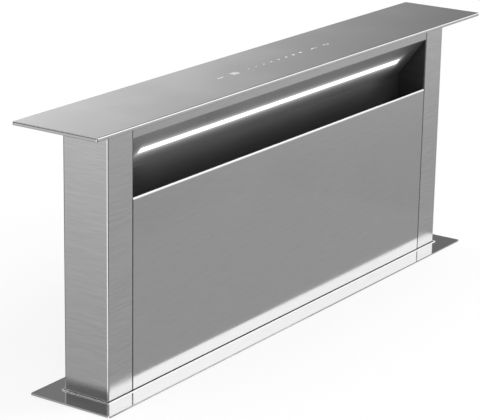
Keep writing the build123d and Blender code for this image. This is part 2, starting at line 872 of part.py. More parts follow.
def chassis_front():
    """The front sheet, with the port into the blower box."""
    sheet = chassis_sheet_at(-chassis_half_y)
    port_middle_z = (box_top_z + box_foot_z) / 2
    port_z = (port_middle_z - port_height / 2, port_middle_z + port_height / 2)
    port_y = (-chassis_half_y - cut_past, -chassis_inner_y + cut_past)
    sheet -= block((-port_width / 2, port_width / 2), port_y, port_z)
    for x, z in blower_screw_places():
        sheet -= rod_y(chassis_screw_radius + screw_clearance, x, z, port_y)
    return sheet


def chassis_floor(z):
    """A plate across the chassis, notched at its corners for the side walls' returns."""
    plate = block((-chassis_inner_x, chassis_inner_x), (-chassis_inner_y, chassis_inner_y), z)
    for side_x in (-1, 1):
        for side_y in (-1, 1):
            notch_x = sorted((side_x * chassis_inner_x, side_x * (chassis_inner_x - chassis_return)))
            notch_y = sorted((side_y * chassis_inner_y, side_y * (chassis_inner_y - chassis_sheet)))
            plate -= block(notch_x, notch_y, z)
    return plate


def chassis_base():
    """The floor of the air chamber, bored for the lift screws."""
    plate = chassis_floor((base_under_z, base_top_z))
    for side in (-1, 1):
        bore_radius = screw_radius + screw_clearance
        plate -= rod_z(bore_radius, side * post_middle_x, 0, (base_under_z, base_top_z))
    return plate


def drive_bay_cover():
    """The plate that closes the drive bay from below."""
    return chassis_floor((chassis_foot_z, chassis_foot_z + chassis_sheet))


def worktop_flange():
    """The frame that lies on the worktop, with a lip round the slot and a rim folded down."""
    half_x = chassis_half_x + flange_bearing_x
    half_y = chassis_half_y + flange_bearing_y
    frame = extrude(RectangleRounded(2 * half_x, 2 * half_y, flange_corner), flange_top_z)
    hollow = (half_x - flange_sheet, half_y - flange_sheet)
    frame -= block((-hollow[0], hollow[0]), (-hollow[1], hollow[1]), (0, flange_under_z))
    lip_outer = (opening_half_x + flange_sheet, opening_half_y + flange_sheet)
    frame += ring(lip_outer, (opening_half_x, opening_half_y), (flange_under_z, lip_top_z))
    slot_x = (-opening_half_x, opening_half_x)
    return frame - block(slot_x, (-opening_half_y, opening_half_y), (0, lip_top_z))


def flange_gasket():
    """The foam gasket between the flange and the worktop."""
    rim_x = chassis_half_x + flange_bearing_x - flange_sheet - gasket_clearance
    rim_y = chassis_half_y + flange_bearing_y - flange_sheet - gasket_clearance
    inner = (chassis_half_x + gasket_clearance, chassis_half_y + gasket_clearance)
    return ring((rim_x, rim_y), inner, (0, gasket_thickness))


def riser_seal():
    """The wiper frame under the flange, close round the riser."""
    inner = (riser_half_x + seal_gap, riser_half_y + seal_gap)
    z = (flange_under_z - seal_height, flange_under_z)
    return ring((chassis_inner_x, chassis_inner_y), inner, z)


def chassis_screw(x, z, face_y, facing):
    """A pan-head screw into a sheet whose outer face is at face_y, facing -Y or +Y."""
    shank_ends = sorted((face_y, face_y - facing * chassis_screw_length))
    head_ends = sorted((face_y, face_y + facing * chassis_screw_head_height))
    head = rod_y(chassis_screw_head, x, z, head_ends)
    return rod_y(chassis_screw_radius, x, z, shank_ends) + head


def chassis_screws():
    """The screws of the chassis sheets, of the blower box's flange and of its cover."""
    screws = []
    for x, z in chassis_screw_places():
        screws.append(chassis_screw(x, z, -chassis_half_y, -1))
        screws.append(chassis_screw(x, z, chassis_half_y, 1))
    for x, z in blower_screw_places():
        screws.append(chassis_screw(x, z, -chassis_half_y - box_sheet, -1))
    for x, z in cover_screw_places():
        screws.append(chassis_screw(x, z, box_front_y - box_sheet, -1))
    return group(screws)


def support_brackets():
    """An angle on each side wall's foot, drilled for screws into the cabinet floor."""
    foot_z = (chassis_foot_z, chassis_foot_z + bracket_sheet)
    half = bracket_width / 2
    leg_x = (chassis_half_x, chassis_half_x + bracket_sheet)
    bracket = block(leg_x, (-half, half), (chassis_foot_z, chassis_foot_z + bracket_leg))
    foot_x = (chassis_half_x, chassis_half_x + bracket_foot)
    bracket += block(foot_x, (-half, half), foot_z)
    hole_x = chassis_half_x + (bracket_foot + bracket_sheet) / 2
    for side in (-1, 1):
        hole_y = side * bracket_hole_spacing / 2
        bracket -= rod_z(bracket_hole_radius, hole_x, hole_y, foot_z)
    return both_sides(bracket)


# ---- Blower ----
def blower_box_shell():
    """The box's four walls in one bent strip, with the hole for the duct spigot."""
    half = box_width / 2
    inner = half - box_sheet
    y = (box_front_y, -chassis_half_y)
    shell = block((-half, half), y, (box_foot_z, box_top_z))
    shell -= block((-inner, inner), y, (box_foot_z + box_sheet, box_top_z - box_sheet))
    return shell - rod_x(spigot_inner_radius, fan_y, duct_z, (inner, half))


def blower_box_flange():
    """The frame round the box's back, against the chassis front."""
    half = box_width / 2
    wide = half + box_flange
    y = (-chassis_half_y - box_sheet, -chassis_half_y)
    flange = block((-wide, wide), y, (box_foot_z - box_flange, box_top_z + box_flange))
    flange -= block((-half, half), y, (box_foot_z, box_top_z))
    for x, z in blower_screw_places():
        flange -= rod_y(chassis_screw_radius + screw_clearance, x, z, y)
    return flange


def blower_box_lip():
    """The frame inside the box's front edge that the cover is screwed to."""
    outer_x = box_width / 2 - box_sheet
    inner_x = box_width / 2 - box_flange
    y = (box_front_y, box_front_y + box_sheet)
    lip = block((-outer_x, outer_x), y, (box_foot_z + box_sheet, box_top_z - box_sheet))
    lip -= block((-inner_x, inner_x), y, (box_foot_z + box_flange, box_top_z - box_flange))
    for x, z in cover_screw_places():
        lip -= rod_y(chassis_screw_radius + screw_clearance, x, z, y)
    return lip


def blower_box():
    """The box round the blower: walls, back flange and front lip, spot-welded together."""
    return group([blower_box_shell(), blower_box_flange(), blower_box_lip()])


def cover_screw_places():
    """Where the blower cover is screwed to the box's front lip, as (X, Z)."""
    edge_x = box_width / 2 - box_flange / 2 - box_sheet
    low_z = box_foot_z + box_flange / 2 + box_sheet
    high_z = box_top_z - box_flange / 2 - box_sheet
    places = []
    for i in range(cover_screws_per_side):
        share = i / (cover_screws_per_side - 1)
        z = low_z + (high_z - low_z) * share
        places += [(-edge_x, z), (edge_x, z)]
    return places


def blower_cover():
    """The service cover over the front of the blower box."""
    half = box_width / 2
    z = (box_foot_z, box_top_z)
    cover = block((-half, half), (box_front_y - box_sheet, box_front_y), z)
    for x, z in cover_screw_places():
        hole_ends = (box_front_y - box_sheet, box_front_y)
        cover -= rod_y(chassis_screw_radius + screw_clearance, x, z, hole_ends)
    return cover


def scroll_region(growth):
    """The air passage of the scroll in (X, Z) about the fan's axis: three quarter turns of
    growing radius, then a straight throat to the box's side wall."""
    half_step = scroll_step / 2
    radii = [scroll_start_radius + i * scroll_step + growth for i in range(3)]
    centres = [(-half_step, -half_step), (-half_step, half_step), (half_step, half_step)]
    top = centres[2][1] + radii[2]
    throat_low = centres[2][1] + scroll_start_radius + 2 * scroll_step - throat_height - growth
    tongue_rise = throat_low - centres[0][1]
    tongue_angle = math.degrees(math.asin(tongue_rise / radii[0]))
    exit_x = duct_x - box_sheet - fan_x
    arcs = [
        CenterArc(centres[0], radii[0], tongue_angle, -90 - tongue_angle),
        CenterArc(centres[1], radii[1], -90, -90),
        CenterArc(centres[2], radii[2], 180, -90),
    ]
    tongue = arcs[0] @ 0
    sides = Polyline((centres[2][0], top), (exit_x, top), (exit_x, throat_low), (tongue.X, tongue.Y))
    outline = make_face(arcs + [sides])
    return Pos(fan_x, 0, fan_z) * (Plane.XZ * outline)


def scroll_half(y):
    """One half of the scroll housing, between two Y coordinates, split through the fan's disc."""
    half_width = scroll_width / 2
    outer = Pos(0, fan_y, 0) * extrude(scroll_region(scroll_wall), half_width, both=True)
    inner = Pos(0, fan_y, 0) * extrude(scroll_region(0), half_width - scroll_wall, both=True)
    shell = outer - inner
    shell -= rod_y(inlet_radius, fan_x, fan_z, (fan_y - scroll_width, fan_y + scroll_width))
    keep_x = (box_sheet - duct_x, duct_x - box_sheet)
    keep_z = (box_foot_z + box_sheet, box_top_z - box_sheet)
    return shell & block(keep_x, y, keep_z)


def scroll_front():
    """The front half of the scroll housing."""
    return scroll_half((fan_y - scroll_width, fan_y))


def scroll_back():
    """The back half of the scroll housing."""
    return scroll_half((fan_y, fan_y + scroll_width))


def wheel_cage():
    """The leaned blades on one side of the wheel's disc, held by their end ring."""
    inner_radius = wheel_radius - wheel_blade_depth
    blade = Rot(0, 0, blade_lean) * Rectangle(wheel_blade_depth, blade_thickness)
    blades = Sketch()
    middle_radius = (wheel_radius + inner_radius) / 2
    for i in range(blade_count):
        blades += Rot(0, 0, i * 360 / blade_count) * Pos(middle_radius, 0) * blade
    disc_face = wheel_disc_thickness / 2
    cage = Pos(0, 0, disc_face) * extrude(blades, wheel_width / 2 - disc_face)
    end_ring = Circle(wheel_radius) - Circle(inner_radius)
    ring_foot = wheel_width / 2 - wheel_ring_thickness
    return cage + Pos(0, 0, ring_foot) * extrude(end_ring, wheel_ring_thickness)


def fan_wheel():
    """The double-inlet wheel: a disc with its hub, and a cage of blades on each side."""
    disc = Cylinder(wheel_radius, wheel_disc_thickness) + Cylinder(hub_radius, hub_length)
    disc -= Cylinder(shaft_radius + running_clearance, hub_length)
    cage = wheel_cage()
    wheel = group([disc, cage, mirror(cage, Plane.XY)])
    return Pos(fan_x, fan_y, fan_z) * Rot(90, 0, 0) * wheel


fan_motor_back_y = fan_y - hub_length / 2 - fan_motor_gap
fan_motor_front_y = fan_motor_back_y - fan_motor_length


def fan_shaft():
    """The shaft from the motor through the wheel's hub."""
    shaft_ends = (fan_motor_back_y - fan_motor_length / 2, fan_y + hub_length / 2 + fan_motor_gap)
    return rod_y(shaft_radius, fan_x, fan_z, shaft_ends)


def fan_motor():
    """The motor in the front inlet, bored for its shaft."""
    motor = rod_y(fan_motor_radius, fan_x, fan_z, (fan_motor_front_y, fan_motor_back_y))
    bore_front_y = fan_motor_back_y - fan_motor_length / 2 - fan_motor_gap
    bore_radius = shaft_radius + running_clearance
    return motor - rod_y(bore_radius, fan_x, fan_z, (bore_front_y, fan_motor_back_y))


def motor_spider():
    """The arms that carry the fan motor in front of the scroll's inlet."""
    face_y = fan_y - scroll_width / 2
    arm_y = (fan_motor_front_y - spider_arm_thickness, fan_motor_front_y)
    reach = inlet_radius + spider_arm_width
    hub = rod_y(spider_hub_radius, fan_x, fan_z, arm_y)
    arm = block((0, reach), arm_y, (-spider_arm_width / 2, spider_arm_width / 2))
    leg_y = (arm_y[0], face_y)
    arm += block((inlet_radius, reach), leg_y, (-spider_arm_width / 2, spider_arm_width / 2))
    for i in range(spider_arm_count):
        turn = Rot(0, 90 + i * 360 / spider_arm_count, 0)
        hub += Pos(fan_x, 0, fan_z) * turn * arm
    return hub


# ---- Duct spigot and damper ----
def duct_spigot():
    """The round spigot that a duct slides over, and the flange ring on the box's side."""
    collar_x = duct_x + spigot_flange_thickness
    collar_ends = (collar_x, duct_x + duct_spigot_length)
    tube = rod_x(spigot_outer_radius, fan_y, duct_z, collar_ends)
    tube -= rod_x(spigot_inner_radius, fan_y, duct_z, collar_ends)
    hole_ends = (duct_z - spigot_outer_radius, duct_z + spigot_outer_radius)
    tube -= rod_z(knuckle_bore, axle_x, fan_y, hole_ends)
    flange = rod_x(spigot_flange_radius, fan_y, duct_z, (duct_x, collar_x))
    flange -= rod_x(spigot_inner_radius, fan_y, duct_z, (duct_x, collar_x))
    return group([tube, flange])


def damper_axle():
    """The upright pin that both flaps turn on."""
    reach = spigot_outer_radius - spigot_wall / 2
    return rod_z(damper_axle_radius, axle_x, fan_y, (duct_z - reach, duct_z + reach))


def damper_spring():
    """The coil of the closing spring, in the middle of the axle."""
    half = damper_spring_length / 2
    coil = rod_z(damper_spring_radius, axle_x, fan_y, (duct_z - half, duct_z + half))
    return coil - rod_z(knuckle_bore, axle_x, fan_y, (duct_z - half, duct_z + half))


def damper_flap(side):
    """A half-round flap with two knuckles on the axle: side -1 towards the front, 1 the back."""
    radius = spigot_inner_radius - flap_clearance
    plate_x = (axle_x - flap_offset - flap_thickness, axle_x - flap_offset)
    flap = rod_x(radius, fan_y, duct_z, plate_x)
    far_y = sorted((fan_y + side * flap_middle_gap, fan_y + side * 2 * radius))
    flap &= block(plate_x, far_y, (duct_z - radius, duct_z + radius))
    notch_y = (fan_y - knuckle_radius - flap_notch_margin, fan_y + knuckle_radius + flap_notch_margin)
    others = [duct_z - side * height for height in knuckle_heights] + [duct_z]
    for z in others:
        half = knuckle_length / 2 + flap_notch_margin
        flap -= block(plate_x, notch_y, (z - half, z + half))
    for height in knuckle_heights:
        z = duct_z + side * height
        ends = (z - knuckle_length / 2, z + knuckle_length / 2)
        flap += rod_z(knuckle_radius, axle_x, fan_y, ends)
        flap -= rod_z(knuckle_bore, axle_x, fan_y, ends)
    return flap


# ---- Control box ----
def control_boss_places():
    """The four bosses that carry the control board, as (X, Z)."""
    inset = control_board_margin + 2 * control_boss_radius
    xs = (control_low_x + inset, control_high_x - inset)
    zs = (control_foot_z + inset, control_top_z - inset)
    return [(x, z) for x in xs for z in zs]


def control_box():
    """The electrical box on the chassis front, open towards the front."""
    y = (control_front_y, -chassis_half_y)
    box = block((control_low_x, control_high_x), y, (control_foot_z, control_top_z))
    inner_x = (control_low_x + control_wall, control_high_x - control_wall)
    inner_z = (control_foot_z + control_wall, control_top_z - control_wall)
    floor_y = -chassis_half_y - control_wall
    box -= block(inner_x, (control_front_y, floor_y), inner_z)
    for x, z in control_boss_places():
        box += rod_y(control_boss_radius, x, z, (floor_y - control_boss_height, floor_y))
    gland_x, gland_y = gland_place()
    neck_hole = gland_neck_radius + screw_clearance
    return box - rod_z(neck_hole, gland_x, gland_y, (control_foot_z, control_foot_z + control_wall))


def control_lid():
    """The lid over the control box."""
    y = (control_front_y - control_wall, control_front_y)
    return block((control_low_x, control_high_x), y, (control_foot_z, control_top_z))


board_back_y = -chassis_half_y - control_wall - control_boss_height


def control_board():
    """The control board on its bosses, with a row of relays."""
    x = (control_low_x + control_board_margin, control_high_x - control_board_margin)
    z = (control_foot_z + control_board_margin, control_top_z - control_board_margin)
    board = block(x, (board_back_y - control_board_thickness, board_back_y), z)
    face_y = board_back_y - control_board_thickness
    pitch = (x[1] - x[0]) / relay_count
    for i in range(relay_count):
        low_x = x[0] + pitch * (i + 0.5) - relay_size / 2
        relay_z = (z[1] - 2 * relay_size, z[1] - relay_size)
        board += block((low_x, low_x + relay_size), (face_y - relay_size, face_y), relay_z)
    return board


def gland_place():
    """The middle of the supply gland, as (X, Y)."""
    gland_y = (control_front_y - chassis_half_y) / 2
    return control_low_x + gland_inset, gland_y


def supply_gland():
    """The gland for the supply cable, in the control box's floor."""
    x, y = gland_place()
    nut = rod_z(gland_radius, x, y, (control_foot_z - gland_length, control_foot_z))
    head_z = control_foot_z + control_wall
    nut += rod_z(gland_neck_radius, x, y, (control_foot_z, head_z))
    return nut - rod_z(gland_bore_radius, x, y, (control_foot_z - gland_length, head_z))


left_screw_foot_z = coupling_head_z - coupling_length / 2

NODES = {
    "top_plate": top_plate(),
    "plate_backing": plate_backing(),
    "touch_light_guide": touch_light_guide(),
    "touch_board": touch_board(),
    "touch_housing": touch_housing(),
    "post_right": post_right(),
    "post_left": mirror(post_right(), Plane.YZ),
    "post_plates": post_plates(),
    "header_strip": header_strip(),
    "light_panel": light_panel(),
    "lamp_lens": lamp_lens(),
    "lamp_profile": lamp_profile(),
    "lamp_board": lamp_board(),
    "lamp_driver": lamp_driver(),
    "front_panel": front_panel(),
    "back_panel": back_panel(),
    "panel_screws": panel_screws(),
    "panel_catches": panel_catches(),
    "crossbars": crossbars(),
    "drip_tray": drip_tray(),
    "filter_frames": filter_frames(),
    "filter_meshes": filter_meshes(),
    "filter_rails": filter_rails(),
    "lift_nuts": lift_nuts(),
    "slide_shoes": slide_shoes(),
    "lead_screw_left": group([lead_screw(-1, left_screw_foot_z), screw_pulley(-1), drive_coupling()]),
    "lead_screw_right": group([lead_screw(1, pulley_foot_z), screw_pulley(1)]),
    "drive_belt": drive_belt(),
    "screw_bearings": screw_bearings(),
    "gearmotor": gearmotor(),
    "motor_plate": motor_plate(),
    "guide_rails": guide_rails(),
    "chassis_side_right": chassis_side_right(),
    "chassis_side_left": mirror(chassis_side_right(), Plane.YZ),
    "chassis_front": chassis_front(),
    "chassis_back": chassis_sheet_at(chassis_inner_y),
    "chassis_base": chassis_base(),
    "drive_bay_cover": drive_bay_cover(),
    "worktop_flange": worktop_flange(),
    "flange_gasket": flange_gasket(),
    "riser_seal": riser_seal(),
    "chassis_screws": chassis_screws(),
    "support_brackets": support_brackets(),
    "blower_box": blower_box(),
    "blower_cover": blower_cover(),
    "scroll_front": scroll_front(),
    "scroll_back": scroll_back(),
    "fan_wheel": fan_wheel(),
    "fan_shaft": fan_shaft(),
    "fan_motor": fan_motor(),
    "motor_spider": motor_spider(),
    "duct_spigot": duct_spigot(),
    "damper_axle": damper_axle(),
    "damper_spring": damper_spring(),
    "damper_flap_front": damper_flap(-1),
    "damper_flap_back": damper_flap(1),
    "control_box": control_box(),
    "control_lid": control_lid(),
    "control_board": control_board(),
    "supply_gland": supply_gland(),
}

os.makedirs("parts", exist_ok=True)
for name, shape in NODES.items():
    export_step(shape, f"parts/{name}.step")
print(len(NODES), "nodes, travel", round(travel, 2), "mm, foot at", round(chassis_foot_z, 2))
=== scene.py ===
import json
import math

import bmesh
import bpy
from mathutils import Matrix, Vector

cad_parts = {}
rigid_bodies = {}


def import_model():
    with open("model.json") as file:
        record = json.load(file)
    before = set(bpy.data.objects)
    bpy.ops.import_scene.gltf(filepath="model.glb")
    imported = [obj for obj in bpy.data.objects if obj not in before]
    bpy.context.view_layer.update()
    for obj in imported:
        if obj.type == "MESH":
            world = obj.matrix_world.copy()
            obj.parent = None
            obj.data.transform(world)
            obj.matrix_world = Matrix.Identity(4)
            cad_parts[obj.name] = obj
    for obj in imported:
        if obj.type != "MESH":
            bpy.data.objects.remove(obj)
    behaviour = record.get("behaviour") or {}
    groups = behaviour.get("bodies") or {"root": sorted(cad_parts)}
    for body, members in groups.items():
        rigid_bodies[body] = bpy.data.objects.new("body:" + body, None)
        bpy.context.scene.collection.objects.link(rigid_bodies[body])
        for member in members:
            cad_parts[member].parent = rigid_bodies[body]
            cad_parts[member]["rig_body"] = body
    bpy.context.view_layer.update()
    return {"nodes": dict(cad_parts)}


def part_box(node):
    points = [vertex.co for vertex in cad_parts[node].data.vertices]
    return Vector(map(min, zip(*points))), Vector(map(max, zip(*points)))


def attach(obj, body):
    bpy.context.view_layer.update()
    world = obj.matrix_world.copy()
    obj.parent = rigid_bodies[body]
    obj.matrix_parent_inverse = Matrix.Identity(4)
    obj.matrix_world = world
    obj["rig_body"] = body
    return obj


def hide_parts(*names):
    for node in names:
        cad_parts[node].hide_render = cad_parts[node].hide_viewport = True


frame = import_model()
nodes = frame["nodes"]

# ---- Camera ----
# A long lens, a little above the cover plate and off the front left corner, as a catalogue
# picture of the raised vent is taken.


def linked(name, data):
    """A new object of the scene."""
    made = bpy.data.objects.new(name, data)
    bpy.context.scene.collection.objects.link(made)
    return made


camera_place = Vector((-2.121, -1.405, 0.926))
heading, tilt, roll = math.radians(55.58), math.radians(17.21), math.radians(1.01)
level_share = math.cos(tilt)
forward = Vector(
    (math.sin(heading) * level_share, math.cos(heading) * level_share, -math.sin(tilt))
)
level = Vector((math.cos(heading), -math.sin(heading), 0))
upward = level.cross(forward)
across = level * math.cos(roll) + upward * math.sin(roll)
top = upward * math.cos(roll) - level * math.sin(roll)
camera = linked("camera", bpy.data.cameras.new("camera"))
camera.data.sensor_width = 36
camera.data.lens = 152.1
turned = Matrix((across, top, -forward)).transposed().to_4x4()
camera.matrix_world = Matrix.Translation(camera_place) @ turned
bpy.context.scene.camera = camera
bpy.context.scene.view_settings.view_transform = "Standard"

# ---- Studio ----
# Even white surroundings for matt surfaces, and for metal a room of large pale panels and dark
# flags over a grey floor. The camera itself sees plain white.
world = bpy.data.worlds.new("studio")
bpy.context.scene.world = world
world.use_nodes = True
tree = world.node_tree
tree.nodes.clear()


def value_math(tree, operation, first, second=0.0):
    """A Math node on two sockets or numbers; its result."""
    node = tree.nodes.new("ShaderNodeMath")
    node.operation = operation
    for socket, given in zip(node.inputs, (first, second)):
        if isinstance(given, (int, float)):
            socket.default_value = given
        else:
            tree.links.new(given, socket)
    return node.outputs[0]


def ramp_between(tree, given, low, high, start=0.0, end=1.0, shape="SMOOTHSTEP"):
    """A Map Range node: from low..high to start..end."""
    node = tree.nodes.new("ShaderNodeMapRange")
    node.interpolation_type = shape
    tree.links.new(given, node.inputs["Value"])
    limits = {"From Min": low, "From Max": high, "To Min": start, "To Max": end}
    for name, number in limits.items():
        node.inputs[name].default_value = number
    return node.outputs["Result"]


def vector_math(tree, operation, given, constant):
    """A Vector Math node on a socket and a constant; its outputs."""
    node = tree.nodes.new("ShaderNodeVectorMath")
    node.operation = operation
    tree.links.new(given, node.inputs[0])
    node.inputs[1].default_value = constant
    return node.outputs


def axes_of(tree, vector):
    """A vector's X, Y and Z."""
    node = tree.nodes.new("ShaderNodeSeparateXYZ")
    tree.links.new(vector, node.inputs[0])
    return node.outputs


def mixed(tree, share, first, second):
    """A Mix Shader node on two shaders; its result."""
    node = tree.nodes.new("ShaderNodeMixShader")
    for socket, given in zip(node.inputs, (share, first, second)):
        tree.links.new(given, socket)
    return node.outputs[0]


look = tree.nodes.new("ShaderNodeTexCoord").outputs["Generated"]


def toward(aim, reach, soft, start, end):
    """A round patch of the room: end within reach degrees of aim, start beyond reach + soft."""
    dot = vector_math(tree, "DOT_PRODUCT", look, Vector(aim).normalized())["Value"]
    outside = math.cos(math.radians(reach + soft))
    inside = math.cos(math.radians(reach))
    return ramp_between(tree, dot, outside, inside, start, end)


height = axes_of(tree, look)["Z"]
ground = ramp_between(tree, height, low=-0.70, high=-0.42, start=0.20, end=0.52)
sky = ramp_between(tree, height, low=0.05, high=0.75, start=0.17, end=0.85)
above = ramp_between(tree, height, low=-0.06, high=0.06)
ground = value_math(tree, "MULTIPLY", ground, value_math(tree, "SUBTRACT", 1.0, above))
room_light = value_math(tree, "ADD", ground, value_math(tree, "MULTIPLY", sky, above))
# Each patch: where it lies, its radius and its soft edge in degrees, and the light that it adds
# or, for a flag, the share of light that it leaves.
pale_panels = (
    ((0.75, -0.62, 0.36), 14, 24, 1.5),
    ((0.50, 0.80, 0.22), 12, 24, 1.02),
    ((0.15, 0.57, 0.80), 8, 14, 3.0),
    ((-0.94, -0.28, -0.25), 14, 12, 1.2),
    ((-0.78, 0.55, -0.17), 1, 10, 0.50),
)
dark_flags = (
    ((-0.18, 0.94, -0.28), 18, 8, 0.04),
    ((0.90, 0.33, 0.28), 7, 12, 0.50),
    ((-0.755, 0.55, 0.35), 4, 8, 0.12),
    ((0.79, 0.20, 0.56), 10, 14, 0.20),
    ((-0.26, -0.93, -0.28), 12, 8, 0.04),
    ((0.74, 0.54, 0.46), 7, 7, 0.15),
    ((0.79, -0.54, -0.32), 16, 26, 0.80),
    ((-0.76, 0.56, -0.42), 4, 8, 0.80),
)
for aim, reach, soft, brightness in pale_panels:
    room_light = value_math(tree, "ADD", room_light, toward(aim, reach, soft, 0.0, brightness))
for aim, reach, soft, left in dark_flags:
    room_light = value_math(tree, "MULTIPLY", room_light, toward(aim, reach, soft, 1.0, left))

matt_strength = 0.80
rays = tree.nodes.new("ShaderNodeLightPath")
matt_light = tree.nodes.new("ShaderNodeBackground")
matt_light.inputs["Strength"].default_value = matt_strength
metal_light = tree.nodes.new("ShaderNodeBackground")
tree.links.new(room_light, metal_light.inputs["Strength"])
seen_light = tree.nodes.new("ShaderNodeBackground")
for light in (matt_light, metal_light, seen_light):
    light.inputs["Color"].default_value = (1, 1, 1, 1)
is_glossy, is_camera = rays.outputs["Is Glossy Ray"], rays.outputs["Is Camera Ray"]
by_gloss = mixed(tree, is_glossy, matt_light.outputs[0], metal_light.outputs[0])
by_camera = mixed(tree, is_camera, by_gloss, seen_light.outputs[0])
world_out = tree.nodes.new("ShaderNodeOutputWorld")
tree.links.new(by_camera, world_out.inputs["Surface"])


def soft_lamp(name, place, aim, size, power):
    """A square lamp with a soft edge that matt surfaces see and metal doesn't mirror."""
    lamp = linked(name, bpy.data.lights.new(name, "AREA"))
    lamp.data.shape = "SQUARE"
    lamp.data.size = size
    lamp.data.energy = power
    lamp.location = place
    lamp.rotation_mode = "QUATERNION"
    lamp.rotation_quaternion = (Vector(aim) - Vector(place)).to_track_quat("-Z", "Y")
    lamp.visible_glossy = False
    lamp.visible_camera = False


soft_lamp("key_lamp", (1.6, -1.4, 2.2), (0, 0, 0.1), size=1.4, power=26)
soft_lamp("fill_lamp", (-1.8, -1.2, 1.2), (0, 0, 0), size=1.6, power=10)

# ---- Floor ----
# A pale worktop in four strips round the cut-out that the vent hangs in. Only the camera sees it;
# it keeps the object's soft shadow, fades to white before its edges and is clear from below.
floor_x, floor_y, floor_z = (-0.95, 0.80), (-0.46, 0.80), -0.0004
cut_x, cut_y = (-0.401, 0.401), (-0.047, 0.047)
strips = (
    (floor_x, (floor_y[0], cut_y[0])),
    (floor_x, (cut_y[1], floor_y[1])),
    ((floor_x[0], cut_x[0]), cut_y),
    ((cut_x[1], floor_x[1]), cut_y),
)


def studio_sheet(name, rectangles, z, seen_by):
    """Level rectangles that only one kind of ray sees: camera or glossy."""
    corners = []
    for (left, right), (front, back) in rectangles:
        corners += [(left, front, z), (right, front, z), (right, back, z), (left, back, z)]
    mesh = bpy.data.meshes.new(name)
    faces = [tuple(range(4 * i, 4 * i + 4)) for i in range(len(rectangles))]
    mesh.from_pydata(corners, [], faces)
    sheet = linked(name, mesh)
    sheet.visible_camera = seen_by == "camera"
    sheet.visible_glossy = seen_by == "glossy"
    sheet.visible_diffuse = False
    sheet.visible_transmission = False
    sheet.visible_shadow = False
    return sheet


def empty_material(sheet, name):
    """A material without nodes on a sheet; its node tree."""
    material = bpy.data.materials.new(name)
    material.use_nodes = True
    material.node_tree.nodes.clear()
    sheet.data.materials.append(material)
    return material.node_tree


def show_above(tree, shader):
    """Ends a material with a shader that shows from above and is clear from below."""
    clear = tree.nodes.new("ShaderNodeBsdfTransparent")
    from_below = tree.nodes.new("ShaderNodeNewGeometry").outputs["Backfacing"]
    material_out = tree.nodes.new("ShaderNodeOutputMaterial")
    one_sided = mixed(tree, from_below, shader, clear.outputs[0])
    tree.links.new(one_sided, material_out.inputs["Surface"])


floor = studio_sheet("worktop", strips, floor_z, "camera")
tree = empty_material(floor, "pale_worktop")
spot = axes_of(tree, tree.nodes.new("ShaderNodeTexCoord").outputs["Object"])
shadow_left = 0.30
fade = None
for axis, middle, inner, outer in (("X", -0.05, 0.55, 0.80), ("Y", 0.0, 0.44, 0.62)):
    off = value_math(tree, "ABSOLUTE", value_math(tree, "SUBTRACT", spot[axis], middle))
    edge = ramp_between(tree, off, inner, outer, 1.0 - shadow_left, 1.0)
    fade = edge if fade is None else value_math(tree, "MAXIMUM", fade, edge)
matt = tree.nodes.new("ShaderNodeBsdfDiffuse")
matt.inputs["Color"].default_value = (1, 1, 1, 1)
plain_white = tree.nodes.new("ShaderNodeEmission")
show_above(tree, mixed(tree, fade, matt.outputs[0], plain_white.outputs[0]))

# A grey card just under the worktop's front edge: what the riser's front mirrors there, in place
# of the blower below. Only metal above it sees it.
card_strip = ((-0.50, 0.50), (-0.40, -0.0625))
card_z, card_strength = -0.0008, 0.44
card = studio_sheet("mirror_card", (card_strip,), card_z, "glossy")
tree = empty_material(card, "grey_card")
shown = tree.nodes.new("ShaderNodeEmission")
shown.inputs["Strength"].default_value = card_strength
show_above(tree, shown.outputs[0])

# ---- Worktop flange ----
# A frame folded from 1.2 mm stainless sheet and polished, with a raised lip round the slot. It
# lies on the worktop over its foam gasket and carries the whole vent.


def mesh_from(made, name):
    """The mesh of a finished bmesh."""
    mesh = bpy.data.meshes.new(name)
    made.to_mesh(mesh)
    made.free()
    return mesh


def baked(made):
    """An object's mesh as its modifiers, or its curve's bevel, leave it."""
    graph = bpy.context.evaluated_depsgraph_get()
    return bpy.data.meshes.new_from_object(made.evaluated_get(graph))


def face_width(face):
    """The width of a strip or a ring."""
    return 2 * face.calc_area() / face.calc_perimeter()


def longest_side(mesh, face):
    """The length of a face's longest edge."""
    ends = [mesh.vertices[number].co for number in face.vertices]
    return max((end - start).length for start, end in zip(ends, ends[1:] + ends[:1]))


def sharpen_ends(mesh, face, end_length=0.005):
    """Marks a long strip's short end edges, so that its normals stay true to its ends."""
    for edge in (mesh.edges[mesh.loops[loop].edge_index] for loop in face.loop_indices):
        start, end = (mesh.vertices[number].co for number in edge.vertices)
        if (end - start).length < end_length:
            edge.use_edge_sharp = True


